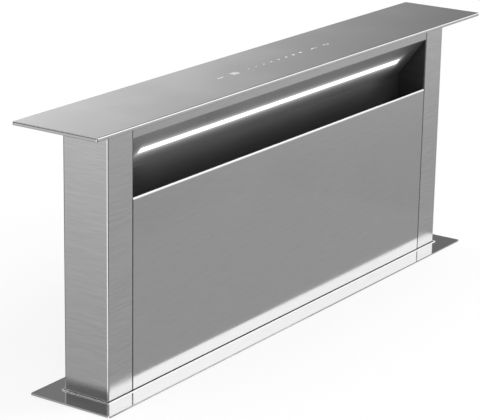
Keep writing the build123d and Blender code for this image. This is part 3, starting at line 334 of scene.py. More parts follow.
def rounded_copy(name, bend, cut=0.0, upright=1.0, narrow_face=0.0016):
    """A merged copy of a CAD sheet piece: its bends and cut edges rounded, its large faces flat.

    cut is the rounding of the sheet's cut edges, and upright the share of the bend on edges that
    stand. Rings of cut edge are split first, so that they can't close over the hole inside them.
    """
    sheet_edge, bend_angle, shortest, long_strip = 0.0022, math.radians(38), 0.006, 0.05
    made = bmesh.new()
    made.from_mesh(nodes[name].data)
    bmesh.ops.remove_doubles(made, verts=made.verts, dist=1e-6)
    flat = math.radians(1)
    bmesh.ops.dissolve_limit(made, angle_limit=flat, verts=made.verts, edges=made.edges)
    weight = made.edges.layers.float.new("bevel_weight_edge")
    for edge in made.edges:
        faces = edge.link_faces
        if len(faces) != 2 or edge.calc_face_angle() < bend_angle:
            continue
        if edge.is_convex and edge.calc_length() > shortest:
            narrow = min(face_width(face) for face in faces)
            stands = abs(edge.verts[0].co.z - edge.verts[1].co.z) > edge.calc_length() / 2
            full = upright if stands else 1.0
            edge[weight] = full if narrow > sheet_edge else cut / bend
        edge.smooth = edge[weight] > 0
    rings = [face for face in made.faces if len(face.verts) > 4 and face_width(face) < sheet_edge]
    bmesh.ops.triangulate(made, faces=rings)
    piece = linked(name + "_folded", mesh_from(made, name + "_folded"))
    bevel = piece.modifiers.new("bends", "BEVEL")
    bevel.limit_method = "WEIGHT"
    bevel.width = bend
    bevel.segments = 3
    bevel.use_clamp_overlap = False
    mesh = baked(piece)
    piece.modifiers.clear()
    piece.data = mesh
    mesh.materials.clear()
    for face in mesh.polygons:
        length = longest_side(mesh, face)
        face.use_smooth = face.area < length * narrow_face
        if length > long_strip:
            sharpen_ends(mesh, face)
    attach(piece, nodes[name]["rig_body"])
    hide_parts(name)
    return piece


def grain_group(name, inputs):
    """A shader node group with number inputs and the outputs Shade, Height and Smudge."""
    group = bpy.data.node_groups.new(name, "ShaderNodeTree")
    number = "NodeSocketFloat"
    for name, default in inputs:
        socket = group.interface.new_socket(name, in_out="INPUT", socket_type=number)
        socket.default_value = default
    for name in ("Shade", "Height", "Smudge"):
        group.interface.new_socket(name, in_out="OUTPUT", socket_type=number)
    given = group.nodes.new("NodeGroupInput")
    result = group.nodes.new("NodeGroupOutput")
    coords = group.nodes.new("ShaderNodeTexCoord")
    cloud = group.nodes.new("ShaderNodeTexNoise")
    cloud.inputs["Scale"].default_value = 7.0
    cloud.inputs["Detail"].default_value = 2.0
    group.links.new(coords.outputs["Object"], cloud.inputs["Vector"])
    group.links.new(cloud.outputs["Fac"], result.inputs["Smudge"])
    return group, given, result, coords


def shade_from(group, given, result, pattern):
    """Feeds a 0 to 1 pattern to the group's Shade, swung about 1 by its Contrast, and to Height."""
    centred = value_math(group, "SUBTRACT", pattern, 0.5)
    swing = value_math(group, "MULTIPLY", centred, given.outputs["Contrast"])
    shade = value_math(group, "MULTIPLY_ADD", swing, 2.0)
    shade.node.inputs[2].default_value = 1.0
    group.links.new(shade, result.inputs["Shade"])
    group.links.new(pattern, result.inputs["Height"])


def brush_grain_group():
    """Straight brush marks along X, or along Y on faces that look sideways."""
    inputs = (("Fine", 900.0), ("Along", 6.0), ("Contrast", 0.12))
    group, given, result, coords = grain_group("brush_grain", inputs)
    spot = axes_of(group, coords.outputs["Object"])
    faces_x = value_math(group, "ABSOLUTE", axes_of(group, coords.outputs["Normal"])["X"])
    sideways = value_math(group, "GREATER_THAN", faces_x, 0.7)
    axes = []
    for straight, turned in (("X", "Y"), ("Y", "X")):
        mix = group.nodes.new("ShaderNodeMix")
        group.links.new(sideways, mix.inputs["Factor"])
        group.links.new(spot[straight], mix.inputs["A"])
        group.links.new(spot[turned], mix.inputs["B"])
        axes.append(mix.outputs["Result"])
    along = value_math(group, "MULTIPLY", axes[0], given.outputs["Along"])
    total = None
    for share, finer in ((0.5, 1.0), (0.5, 0.4)):
        fine = value_math(group, "MULTIPLY", given.outputs["Fine"], finer)
        grain = group.nodes.new("ShaderNodeCombineXYZ")
        group.links.new(along, grain.inputs["X"])
        group.links.new(value_math(group, "MULTIPLY", axes[1], fine), grain.inputs["Y"])
        group.links.new(value_math(group, "MULTIPLY", spot["Z"], fine), grain.inputs["Z"])
        noise = group.nodes.new("ShaderNodeTexNoise")
        noise.inputs["Scale"].default_value = 1.0
        noise.inputs["Detail"].default_value = 3.0
        group.links.new(grain.outputs[0], noise.inputs["Vector"])
        part = value_math(group, "MULTIPLY", noise.outputs["Fac"], share)
        total = part if total is None else value_math(group, "ADD", total, part)
    shade_from(group, given, result, total)
    return group


brush_grain = brush_grain_group()


def multiplier(tree, shade):
    """A Mix node that multiplies its colour A by a shade."""
    node = tree.nodes.new("ShaderNodeMix")
    node.data_type = "RGBA"
    node.blend_type = "MULTIPLY"
    node.inputs["Factor"].default_value = 1.0
    tree.links.new(shade, node.inputs["B"])
    return node


def surface(
    name, base, roughness, texture, metallic=0.0, bump=0.1, depth=0.0002, smudge=0.06, **given
):
    """A finish: the texture group tints its colour, smudges its gloss and stands in its normal."""
    material = bpy.data.materials.new(name)
    material.use_nodes = True
    tree = material.node_tree
    shader = tree.nodes["Principled BSDF"]
    shader.inputs["Metallic"].default_value = metallic
    grain = tree.nodes.new("ShaderNodeGroup")
    grain.node_tree = texture
    for socket, number in given.items():
        grain.inputs[socket].default_value = number
    tint = multiplier(tree, grain.outputs["Shade"])
    tint.inputs["A"].default_value = (*base, 1)
    tree.links.new(tint.outputs["Result"], shader.inputs["Base Color"])
    glossiest, dullest = roughness - smudge / 2, roughness + smudge / 2
    rough = ramp_between(tree, grain.outputs["Smudge"], 0.3, 0.7, glossiest, dullest)
    tree.links.new(rough, shader.inputs["Roughness"])
    dent = tree.nodes.new("ShaderNodeBump")
    dent.inputs["Strength"].default_value = bump
    dent.inputs["Distance"].default_value = depth
    tree.links.new(grain.outputs["Height"], dent.inputs["Height"])
    tree.links.new(dent.outputs["Normal"], shader.inputs["Normal"])
    return material


def dress(material, *names):
    """Gives CAD nodes a material in place of the one they came with."""
    for name in names:
        mesh = nodes[name].data
        mesh.materials.clear()
        mesh.materials.append(material)


def dress_folded(material, slot, bend, cut, *names, upright=1.0):
    """Rounded copies of CAD sheet pieces, in a material; slot is not used."""
    for name in names:
        piece = rounded_copy(name, bend, cut, upright)
        piece.data.materials.append(material)


def dress_faces(mesh, material, fits):
    """Gives those faces of a mesh that the rule picks a further material."""
    mesh.materials.append(material)
    for face in mesh.polygons:
        if fits(face):
            face.material_index = len(mesh.materials) - 1


polished = surface(
    "polished_stainless", (0.70, 0.70, 0.70), 0.12, brush_grain, 1.0, 0.01,
    smudge=0.03, Contrast=0.05,
)
dress_folded(polished, "stainless", 0.0008, 0.0004, "worktop_flange")

# ---- Posts, header and panels of the riser ----
# The visible tower: two square posts, the header strip over the mouth and the panels between
# them, all 1 to 1.2 mm stainless sheet, brushed level and folded. The front one lifts off by hand.
panel_finish = surface(
    "brushed_stainless", (0.62, 0.62, 0.62), 0.13, brush_grain, 1.0, 0.015,
    smudge=0.03, Contrast=0.09, Fine=900.0, Along=30.0,
)
post_finish = surface(
    "brushed_posts", (0.62, 0.62, 0.62), 0.22, brush_grain, 1.0, 0.02,
    smudge=0.03, Contrast=0.17, Fine=950.0, Along=30.0,
)
plate_foot_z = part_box("top_plate")[0].z
post_inner_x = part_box("post_right")[0].x


def gap_painted_shade(face):
    """The rounded upright edges on both sides of the gaps between the front panel and the posts,
    which take painted shade.
    """
    seam_reach, front_y = 0.0018, -0.020
    beside = abs(abs(face.center.x) - post_inner_x) < seam_reach and face.center.y < front_y
    return beside and 0.12 < abs(face.normal.x) < 0.98


def paint_shade_along(material, axis, low, high, end):
    """Paints shade onto a finish along an axis, from its own colour at low to end of it at high."""
    tree = material.node_tree
    shader = tree.nodes["Principled BSDF"]
    spot = axes_of(tree, tree.nodes.new("ShaderNodeTexCoord").outputs["Object"])
    shade = multiplier(tree, ramp_between(tree, spot[axis], low, high, 1.0, end))
    tree.links.new(shader.inputs["Base Color"].links[0].from_socket, shade.inputs["A"])
    tree.links.new(shade.outputs["Result"], shader.inputs["Base Color"])


# Painted shade under the cover plate's rim: the panels and posts darken in the top 2 mm below its
# foot, for the shadow of the joint.
painted_shade_start_z, painted_shade_end_z = plate_foot_z - 0.0018, plate_foot_z - 0.0006
for finish in (panel_finish, post_finish):
    paint_shade_along(finish, "Z", painted_shade_start_z, painted_shade_end_z, 0.35)
# A dark copy of the brushed metal for painted shade on the edges beside the front panel's gaps, and
# for painted shade and painted dark reflection on the cover plate's rim.
cut_edge = surface("cut_edge", (0.20, 0.20, 0.20), 0.34, brush_grain, 1.0, 0.03, Contrast=0.07)
dress_folded(post_finish, "stainless", 0.0009, 0.0003, "post_left", "post_right")
dress_folded(panel_finish, "stainless", 0.0012, 0.0003, "header_strip", "back_panel", upright=0.4)
dress_folded(panel_finish, "stainless", 0.0024, 0.0003, "front_panel", upright=0.2)
# Painted shade on the edges beside the gaps between the front panel and the posts.
for name in ("post_left", "post_right", "front_panel"):
    dress_faces(bpy.data.objects[name + "_folded"].data, cut_edge, gap_painted_shade)

# ---- Cover plate ----
# The plate that closes the slot when the riser is down: 1.2 mm stainless with a folded rim,
# brushed lengthways, with small windows for the lit touch marks.
plate_finish = surface(
    "brushed_cover", (0.66, 0.66, 0.66), 0.24, brush_grain, 1.0, 0.03, Contrast=0.07
)
plate = rounded_copy("top_plate", 0.0004)
plate.data.materials.append(plate_finish)


def rim_painted_shade(face):
    """The rim's foot, its rounding's inner edge along front and back, and all of it at the ends:
    painted shade and painted dark reflection go there.
    """
    normal = face.normal
    if -0.95 < normal.z < -0.2:
        return True
    at_end = abs(normal.x) > abs(normal.y)
    turned = abs(normal.x) > 0.2 if at_end else normal.z > 0.85
    return turned and 0.2 < normal.z < 0.98


# Painted shade and painted dark reflection on the plate rim's foot, inner rounding edge and ends.
dress_faces(plate.data, cut_edge, rim_painted_shade)

# ---- Sloping light panel ----
# The sheet inside the mouth: it slopes back from the header to the inner wall and holds the lamp.
# The slope is brushed and darkened, with the lamp's spill painted on as light and painted shade
# towards its right end; the folds beyond it are the same sheet, painted matt dark as shade inside
# the cavity, with faint painted light just under the slope.
slope_finish = surface(
    "darkened_slope", (0.48, 0.48, 0.48), 0.30, brush_grain, 0.6, 0.04, Contrast=0.20, Along=16.0
)
# Painted shade: the wall and cheeks are the slope's own sheet, painted far darker for the shade
# inside the cavity.
painted_wall_finish = surface(
    "darkened_wall", (0.085, 0.085, 0.087), 0.36, brush_grain, 0.5, 0.08, Contrast=0.30
)
slope_low, slope_high = Vector((0, 0.009, 0.259)), Vector((0, -0.03215, 0.3139))


def glow(material, half_width, half_length, fading):
    """Emission on the slope's plane, fading(tree, distance) from a strip along its middle."""
    tree = material.node_tree
    place = tree.nodes.new("ShaderNodeTexCoord").outputs["Object"]
    offset = vector_math(tree, "SUBTRACT", place, (slope_low + slope_high) / 2)["Vector"]
    uphill = (slope_high - slope_low).normalized()
    climb = vector_math(tree, "DOT_PRODUCT", offset, uphill)["Value"]
    aside = axes_of(tree, offset)["X"]
    squares = []
    for reached, half in ((climb, half_width), (aside, half_length)):
        past = value_math(tree, "SUBTRACT", value_math(tree, "ABSOLUTE", reached), half)
        squares.append(value_math(tree, "POWER", value_math(tree, "MAXIMUM", past, 0.0), 2.0))
    far = value_math(tree, "SQRT", value_math(tree, "ADD", squares[0], squares[1]))
    shader = tree.nodes["Principled BSDF"]
    shader.inputs["Emission Color"].default_value = (1.0, 0.99, 0.97, 1)
    tree.links.new(fading(tree, far), shader.inputs["Emission Strength"])


def painted_spill(tree, far):
    """Painted light: the lamp's spill on the brushed slope as emission, gone after some 15 mm."""
    spill_reach, spill_strength = 0.0044, 0.56
    share = value_math(tree, "EXPONENT", value_math(tree, "DIVIDE", far, -spill_reach))
    return value_math(tree, "MULTIPLY", share, spill_strength)


def painted_wall_light(tree, far):
    """Painted light: a faint emission on the wall just under the slope."""
    return ramp_between(tree, far, low=0.026, high=0.062, start=0.022, end=0.0)


# Painted light: the lamp's spill glows in the slope's own finish.
glow(slope_finish, half_width=0.0044, half_length=0.2984, fading=painted_spill)
# Painted light on the wall just under the slope.
glow(painted_wall_finish, half_width=0.0, half_length=0.245, fading=painted_wall_light)
# Painted shade: the slope darkens towards its right end, beside the cheek.
paint_shade_along(slope_finish, "X", low=0.24, high=0.33, end=0.35)
dress(painted_wall_finish, "light_panel")
# Painted shade: the cheeks, darker still than the wall.
painted_cheek_finish = surface(
    "darkened_cheek", (0.05, 0.05, 0.052), 0.36, brush_grain, 0.5, 0.08, Contrast=0.30
)
panel_mesh = nodes["light_panel"].data
dress_faces(panel_mesh, painted_cheek_finish, lambda face: abs(face.normal.x) > 0.5)
dress_faces(panel_mesh, slope_finish, lambda face: -0.99 < face.normal.z < -0.3)

# ---- Lamp ----
# An opal lens over a strip of light-emitting diodes on a board, in an aluminium channel pressed
# into the slope's slot from behind, with its driver in a white case on the cavity's back.


def texture_group(name, texture, density, default, contrast, settings, cells=False):
    """A group on one texture node whose scale is an input. Cells take a shade each at random."""
    inputs = ((density, default), ("Contrast", contrast))
    group, given, result, coords = grain_group(name, inputs)
    node = group.nodes.new(texture)
    for socket, number in settings.items():
        node.inputs[socket].default_value = number
    group.links.new(coords.outputs["Object"], node.inputs["Vector"])
    group.links.new(given.outputs[density], node.inputs["Scale"])
    if cells:
        tone = group.nodes.new("ShaderNodeSeparateColor")
        group.links.new(node.outputs["Color"], tone.inputs[0])
    shade_from(group, given, result, tone.outputs["Red"] if cells else node.outputs["Fac"])
    return group


def repeat_group():
    """Geometry Nodes: a template on every point, its Z along the point's facing, its X along."""
    group = bpy.data.node_groups.new("repeat_on_points", "GeometryNodeTree")
    for socket, kind in (("Points", "Geometry"), ("Template", "Object"), ("Finish", "Material")):
        group.interface.new_socket(socket, in_out="INPUT", socket_type="NodeSocket" + kind)
    group.interface.new_socket("Pieces", in_out="OUTPUT", socket_type="NodeSocketGeometry")
    given = group.nodes.new("NodeGroupInput")
    result = group.nodes.new("NodeGroupOutput")
    template = group.nodes.new("GeometryNodeObjectInfo")
    group.links.new(given.outputs["Template"], template.inputs["Object"])
    turned = None
    for name, axis in (("facing", "Z"), ("along", "X")):
        wanted = group.nodes.new("GeometryNodeInputNamedAttribute")
        wanted.data_type = "FLOAT_VECTOR"
        wanted.inputs["Name"].default_value = name
        align = group.nodes.new("FunctionNodeAlignRotationToVector")
        align.axis = axis
        align.pivot_axis = "AUTO" if turned is None else "Z"
        group.links.new(wanted.outputs["Attribute"], align.inputs["Vector"])
        if turned is not None:
            group.links.new(turned, align.inputs["Rotation"])
        turned = align.outputs["Rotation"]
    copies = group.nodes.new("GeometryNodeInstanceOnPoints")
    group.links.new(given.outputs["Points"], copies.inputs["Points"])
    group.links.new(template.outputs["Geometry"], copies.inputs["Instance"])
    group.links.new(turned, copies.inputs["Rotation"])
    real = group.nodes.new("GeometryNodeRealizeInstances")
    group.links.new(copies.outputs["Instances"], real.inputs["Geometry"])
    finish = group.nodes.new("GeometryNodeSetMaterial")
    group.links.new(real.outputs["Geometry"], finish.inputs["Geometry"])
    group.links.new(given.outputs["Finish"], finish.inputs["Material"])
    group.links.new(finish.outputs["Geometry"], result.inputs["Pieces"])
    return group


repeat_on_points = repeat_group()


def placed(name, mesh, body, material=None, stands_for=()):
    """A finished mesh as a piece of the object, on its body."""
    piece = linked(name, mesh)
    if material is not None:
        mesh.materials.clear()
        mesh.materials.append(material)
    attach(piece, body)
    if stands_for:
        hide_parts(*stands_for)
    return piece


def repeated(name, template, spots, body, material, stands_for=()):
    """One piece of many copies of a template mesh, at (place, facing, along) triples."""
    points = bpy.data.meshes.new(name + "_points")
    points.from_pydata([spot[0] for spot in spots], [], [])
    for column, attribute in ((1, "facing"), (2, "along")):
        vectors = points.attributes.new(attribute, "FLOAT_VECTOR", "POINT")
        vectors.data.foreach_set("vector", [number for spot in spots for number in spot[column]])
    carrier = linked(name + "_points", points)
    shape = linked(name + "_template", template)
    modifier = carrier.modifiers.new("repeat", "NODES")
    modifier.node_group = repeat_on_points
    sockets = {item.name: item.identifier for item in repeat_on_points.interface.items_tree}
    modifier[sockets["Template"]] = shape
    modifier[sockets["Finish"]] = material
    mesh = baked(carrier)
    for made in (carrier, shape):
        bpy.data.objects.remove(made)
    return placed(name, mesh, body, None, stands_for)


def block_mesh(name, size, bevel):
    """A block standing on z 0, its upper edges and corners bevelled."""
    made = bmesh.new()
    lift = Matrix.Translation((0, 0, size[2] / 2)) @ Matrix.Diagonal((*size, 1))
    bmesh.ops.create_cube(made, size=1.0, matrix=lift)
    half = size[2] / 2
    edges = [edge for edge in made.edges if max(vert.co.z for vert in edge.verts) > half]
    bmesh.ops.bevel(made, geom=edges, offset=bevel, segments=2, profile=0.5, affect="EDGES")
    return mesh_from(made, name)


def lens_light(tree, far):
    """The opal lens's light, softer in its last 1.4 mm."""
    return ramp_between(tree, far, low=0.0, high=0.0014, start=1.7, end=0.80)


# A fine even stipple for plastic, rubber, foam and cast metal; copper tracks under solder mask.
speckle = texture_group("speckle", "ShaderNodeTexNoise", "Fine", 1400.0, 0.10, {"Detail": 3.0})
tracks = texture_group("tracks", "ShaderNodeTexBrick", "Rows", 260.0, 0.5, {"Mortar Size": 0.05})
lens_finish = surface("opal_lens", (0.95, 0.95, 0.93), 0.35, speckle, Contrast=0.01)
glow(lens_finish, half_width=0.0034, half_length=0.2974, fading=lens_light)
dress(lens_finish, "lamp_lens")
aluminium = surface(
    "drawn_aluminium", (0.72, 0.73, 0.74), 0.34, brush_grain, 1.0, 0.06, Contrast=0.08
)
board_finish = surface("solder_mask", (0.015, 0.13, 0.05), 0.32, tracks, bump=0.2)
white_plastic = surface("white_plastic", (0.78, 0.78, 0.76), 0.45, speckle, Contrast=0.03)
black_plastic = surface("black_plastic", (0.028, 0.028, 0.030), 0.48, speckle, bump=0.2)
dress(aluminium, "lamp_profile")
dress(board_finish, "lamp_board", "touch_board", "control_board")
dress(white_plastic, "lamp_driver", "panel_catches")
board_low, board_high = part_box("lamp_board")
slope_run = slope_high - slope_low
slope_out = Vector((0, -slope_run.z, slope_run.y)).normalized()
diode_seat, diode_pitch, diode_count = 0.0006, 0.0083, 71
diode_middle = (board_low + board_high) / 2 + slope_out * diode_seat
diode_spots = []
for number in range(diode_count):
    aside = Vector(((number - diode_count // 2) * diode_pitch, 0, 0))
    diode_spots.append((diode_middle + aside, slope_out, (1, 0, 0)))
diode_finish = surface("diode_lens", (0.85, 0.75, 0.35), 0.3, speckle, Contrast=0.05)
diode = block_mesh("diode", size=(0.0028, 0.0035, 0.0008), bevel=0.0002)
repeated("lamp_diodes", diode, diode_spots, "riser", diode_finish)

# ---- Touch row ----
# Under the plate's windows a clear guide carries the light of a board's diodes up; a black tray
# closes them from below and a fibreboard backing stiffens the plate.
mark_finish = surface("lit_mark", (0.9, 0.9, 0.9), 0.4, speckle, Contrast=0.02)
shader = mark_finish.node_tree.nodes["Principled BSDF"]
shader.inputs["Emission Color"].default_value = (1, 1, 1, 1)
shader.inputs["Emission Strength"].default_value = 0.16
dress(mark_finish, "touch_light_guide")
dress(black_plastic, "touch_housing")
fibreboard = surface(
    "fibreboard", (0.22, 0.15, 0.09), 0.80, speckle, bump=0.4, Fine=700.0, Contrast=0.30
)
dress(fibreboard, "plate_backing")

# ---- Grease filters ----
# Two slanted filters lean from the foot of the front panel to the head of the back: folded
# aluminium frames round layers of expanded aluminium mesh, held in zinc-coated rails.

# The flowers of hot-dip zinc are flat cells.
spangle = texture_group(
    "zinc_spangle", "ShaderNodeTexVoronoi", "Cells", 150.0, 0.11, {}, cells=True
)
zinc = surface("zinc_coated", (0.50, 0.52, 0.54), 0.40, spangle, 1.0, 0.05)
mesh_finish = surface("expanded_aluminium", (0.62, 0.63, 0.64), 0.38, speckle, 1.0, Contrast=0.12)
dress_folded(aluminium, "aluminium", 0.0012, 0.0, "filter_frames")
dress(zinc, "filter_rails")
filter_foot, filter_head = Vector((0, -0.018, -0.044475)), Vector((0, 0.0165, 0.2034))
filter_up = (filter_head - filter_foot).normalized()
filter_out = Vector((0, -filter_up.z, filter_up.y))
cell_wide, cell_high, strand_wide, strand_thick = 0.014, 0.007, 0.0014, 0.0009
made = bmesh.new()
for side_x in (-1, 1):
    for side_y in (-1, 1):
        tip = Vector((side_x * cell_wide / 2, side_y * cell_high / 2, 0))
        turn = Matrix.Rotation(math.atan2(tip.y, tip.x), 4, "Z")
        stretch = Matrix.Diagonal((tip.length, strand_wide, strand_thick, 1))
        strand = Matrix.Translation(tip / 2) @ turn @ stretch
        bmesh.ops.create_cube(made, size=1.0, matrix=strand)
strands = mesh_from(made, "mesh_cell")
columns, rows, layer_gap = 22, 32, 0.0018
filter_inner, filter_outer = 0.0123, 0.3238
filter_x = (filter_inner + filter_outer) / 2
mesh_spots = []
for side in (-1, 1):
    middle = (filter_foot + filter_head) / 2 + Vector((side * filter_x, 0, 0))
    for layer in (-1, 1):
        for column in range(columns):
            for row in range(rows):
                sideways = Vector(((column - (columns - 1) / 2) * cell_wide, 0, 0))
                climbed = filter_up * (row - (rows - 1) / 2) * cell_high
                place = middle + sideways + climbed + filter_out * layer * layer_gap
                mesh_spots.append((place, filter_out, (1, 0, 0)))
repeated(
    "filter_meshes_expanded", strands, mesh_spots, "riser", mesh_finish,
    ("filter_meshes",),
)

# ---- Foot of the riser ----
# Folded zinc-coated crossbars and a grease tray tie the posts together; steel end plates carry
# the bronze lift nuts, and black shoes slide in the chassis' guide rails.
bronze = surface("bearing_bronze", (0.60, 0.38, 0.17), 0.32, speckle, 1.0, Contrast=0.08)
dress_folded(zinc, "zinc_steel", 0.0008, 0.0, "crossbars", "drip_tray")
dress(zinc, "post_plates")
dress(bronze, "lift_nuts")
dress(black_plastic, "slide_shoes")

# ---- Lift ----
# Two lead screws of four-start thread raise the riser. A toothed belt ties their pulleys together
# and a gearmotor under the left one turns them.


def lathe_mesh(name, profile, sides=48, shape=None, matrix=None, ring=False):
    """A turned mesh from (z, radius) pairs; shape may change a radius by its row and angle."""
    made = bmesh.new()
    rows = []
    for index, (z, radius) in enumerate(profile):
        spots = []
        for step in range(sides if radius else 1):
            angle = math.tau * step / sides
            reach = shape(index, z, radius, angle) if shape else radius
            spots.append(made.verts.new((reach * math.cos(angle), reach * math.sin(angle), z)))
        rows.append(spots)
    pairs = list(zip(rows, rows[1:])) + ([(rows[-1], rows[0])] if ring else [])
    for low, high in pairs:
        for step in range(sides):
            after = (step + 1) % sides
            corners = [low[step % len(low)], low[after % len(low)]]
            corners += [high[after % len(high)], high[step % len(high)]]
            made.faces.new(list(dict.fromkeys(corners)))
    bmesh.ops.recalc_face_normals(made, faces=made.faces)
    if matrix is not None:
        bmesh.ops.transform(made, matrix=matrix, verts=made.verts)
    for face in made.faces:
        face.smooth = True
    mesh = mesh_from(made, name)
    mesh.set_sharp_from_angle(angle=math.radians(32))
    return mesh


steel = surface("machined_steel", (0.56, 0.57, 0.58), 0.26, brush_grain, 1.0, 0.08, Contrast=0.08)
casing = surface("motor_case", (0.075, 0.077, 0.08), 0.46, speckle, bump=0.25, Contrast=0.14)
rubber = surface("black_rubber", (0.022, 0.022, 0.023), 0.70, speckle, bump=0.3, Contrast=0.20)
screw_x, screw_radius, screw_lead, thread_starts, thread_depth = 0.36205, 0.005, 0.020, 4, 0.0008
collar_head_z, thread_foot_z, thread_step, thread_steps = -0.4165, -0.4160, 0.001, 377
pulley_radius, pulley_rim, pulley_teeth, groove_depth = 0.016, 0.0185, 20, 0.0015
belt_middle_z, belt_half_width, belt_inner_radius, belt_thickness = -0.4425, 0.005, 0.0163, 0.0016


def wind_thread(index, z, radius, angle):
    """The screw's left-handed thread above its collar, and the pulley's grooves."""
    if radius == screw_radius and z > collar_head_z:
        phase = thread_starts * (angle / math.tau + z / screw_lead)
        return radius - thread_depth * (1 - math.cos(math.tau * phase)) / 2
    if radius == pulley_radius:
        return radius - groove_depth * (math.cos(pulley_teeth * angle) < -0.1)
    return radius


coupling_profile = [
    (-0.4685, 0), (-0.4685, 0.0085), (-0.468, 0.009), (-0.451, 0.009), (-0.4505, 0.0085),
    (-0.4505, 0.004),
]
pulley_profile = [
    (-0.4495, 0.004), (-0.4495, pulley_rim), (-0.4485, pulley_rim), (-0.4485, pulley_radius),
    (-0.4365, pulley_radius), (-0.4365, pulley_rim), (-0.4355, pulley_rim), (-0.4355, 0.004),
]
collar_profile = [
    (-0.4208, 0.004), (-0.4208, 0.0085), (-0.4203, 0.009), (-0.4173, 0.009), (-0.4168, 0.0085),
    (-0.4168, screw_radius),
]
thread_rows = [(thread_foot_z + thread_step * step, screw_radius) for step in range(thread_steps)]
screw_end = [(-0.0385, 0.0046), (-0.038, 0.0040), (-0.038, 0)]
for side, name, foot in ((-1, "left", coupling_profile), (1, "right", [(-0.4495, 0)])):
    profile = foot + pulley_profile + collar_profile + thread_rows + screw_end
    spot = Matrix.Translation((side * screw_x, 0, 0))
    mesh = lathe_mesh("lead_screw_%s_threaded" % name, profile, 120, wind_thread, spot)
    placed(mesh.name, mesh, "screw_" + name, steel, ("lead_screw_" + name,))
dress(casing, "screw_bearings", "gearmotor")
dress(zinc, "motor_plate")
belt_path = []
arc_steps, run_teeth = 40, 143
for side, start in ((1, -90), (-1, 90)):
    for step in range(arc_steps + 1):
        angle = math.radians(start + 180 * step / arc_steps)
        belt_path.append((side * screw_x, Vector((math.cos(angle), math.sin(angle), 0))))
made = bmesh.new()
rings = []
for middle_x, out in belt_path:
    ring = []
    for reach, z in ((0, -1), (belt_thickness, -1), (belt_thickness, 1), (0, 1)):
        middle = Vector((middle_x, 0, belt_middle_z + z * belt_half_width))
        ring.append(made.verts.new(middle + out * (belt_inner_radius + reach)))
    rings.append(ring)
for ring, after in zip(rings, rings[1:] + rings[:1]):
    for corner in range(4):
        made.faces.new((ring[corner], ring[corner - 1], after[corner - 1], after[corner]))
bmesh.ops.recalc_face_normals(made, faces=made.faces)
belt = mesh_from(made, "drive_belt_band")
placed("drive_belt_band", belt, "chassis", rubber, ("drive_belt",))
tooth_spots = []
for side, start in ((1, -90), (-1, 90)):
    for number in range(pulley_teeth // 2):
        angle = math.radians(start + 180 * (number + 0.5) / (pulley_teeth / 2))
        out = Vector((math.cos(angle), math.sin(angle), 0))
        place = Vector((side * screw_x, 0, belt_middle_z)) + out * belt_inner_radius
        tooth_spots.append((place, -out, (-out.y, out.x, 0)))
    for number in range(run_teeth):
        x = side * screw_x * (1 - 2 * (number + 0.5) / run_teeth)
        tooth_spots.append(((x, side * belt_inner_radius, belt_middle_z), (0, -side, 0), (1, 0, 0)))
tooth = block_mesh("belt_tooth", size=(0.0024, 2 * belt_half_width, 0.0012), bevel=0.0003)
repeated("drive_belt_teeth", tooth, tooth_spots, "chassis", rubber)

# ---- Chassis ----
# The case that hangs in the cabinet: folded zinc-coated sheets, spot-welded and screwed, with
# guide rails inside, brackets to the cabinet floor, and a foam gasket and rubber seal on top.
foam = surface(
    "gasket_foam", (0.05, 0.05, 0.052), 0.95, speckle,
    bump=0.8, depth=0.0005, Fine=900.0, Contrast=0.4,
)
dress_folded(zinc, "zinc_steel", 0.0010, 0.0, "chassis_front", "chassis_back")
dress_folded(zinc, "zinc_steel", 0.0010, 0.0, "chassis_side_left", "chassis_side_right")
dress_folded(zinc, "zinc_steel", 0.0010, 0.0, "support_brackets")
dress(zinc, "chassis_base", "drive_bay_cover", "guide_rails")
dress(foam, "flange_gasket")
seal_rubber = surface("grey_rubber", (0.26, 0.26, 0.27), 0.60, speckle, bump=0.3, Contrast=0.20)
dress(seal_rubber, "riser_seal")

# ---- Blower ----
# A folded zinc-coated box on the chassis front with a pressed cover. Inside, a black plastic
# wheel turns in a two-part scroll on the shaft of a motor held by a three-armed spider.


def pressed_sheet(name, node, step, press, material):
    """A flat sheet across Y as a fine grid, both faces pressed towards +Y by press(x, z)."""
    low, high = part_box(node)
    columns = max(2, round((high.x - low.x) / step))
    rows = max(2, round((high.z - low.z) / step))
    made = bmesh.new()
    grids = []
    for y in (low.y, high.y):
        grid = []
        for row in range(rows + 1):
            z = low.z + (high.z - low.z) * row / rows
            xs = [low.x + (high.x - low.x) * column / columns for column in range(columns + 1)]
            grid.append([made.verts.new((x, y + press(x, z), z)) for x in xs])
        grids.append(grid)
        for lower, upper in zip(grid, grid[1:]):
            for left in range(columns):
                corners = (lower[left], lower[left + 1], upper[left + 1], upper[left])
                made.faces.new(corners)
    front, back = grids
    rims = (
        ([row[0] for row in front], [row[0] for row in back]),
        ([row[-1] for row in front], [row[-1] for row in back]),
        (front[0], back[0]),
        (front[-1], back[-1]),
    )
    for one, other in rims:
        for number in range(len(one) - 1):
            made.faces.new((one[number], one[number + 1], other[number + 1], other[number]))
    bmesh.ops.recalc_face_normals(made, faces=made.faces)
    for face in made.faces:
        face.smooth = True
    mesh = mesh_from(made, name)
    mesh.set_sharp_from_angle(angle=math.radians(50))
    return placed(name, mesh, "chassis", material, (node,))


def eased(value, low, high):
    """0 below low, 1 above high and a smooth step between."""
    share = min(1.0, max(0.0, (value - low) / (high - low)))
    return share * share * (3 - 2 * share)


def cover_press(x, z):
    """Three level stiffening beads and a round boss in front of the motor, all pressed outwards."""
    bead_end_x, bead_rise = 0.145, 0.0018
    boss_x, boss_z, boss_rise = -0.02, -0.28, 0.0025
    bead = 0.0
    for bead_z in (-0.135, -0.185, -0.385):
        off = math.hypot(max(0.0, abs(x) - bead_end_x), z - bead_z)
        bead = max(bead, 1 - eased(off, 0.003, 0.011))
    boss = 1 - eased(math.hypot(x - boss_x, z - boss_z), 0.058, 0.068)
    return -bead_rise * bead - boss_rise * boss


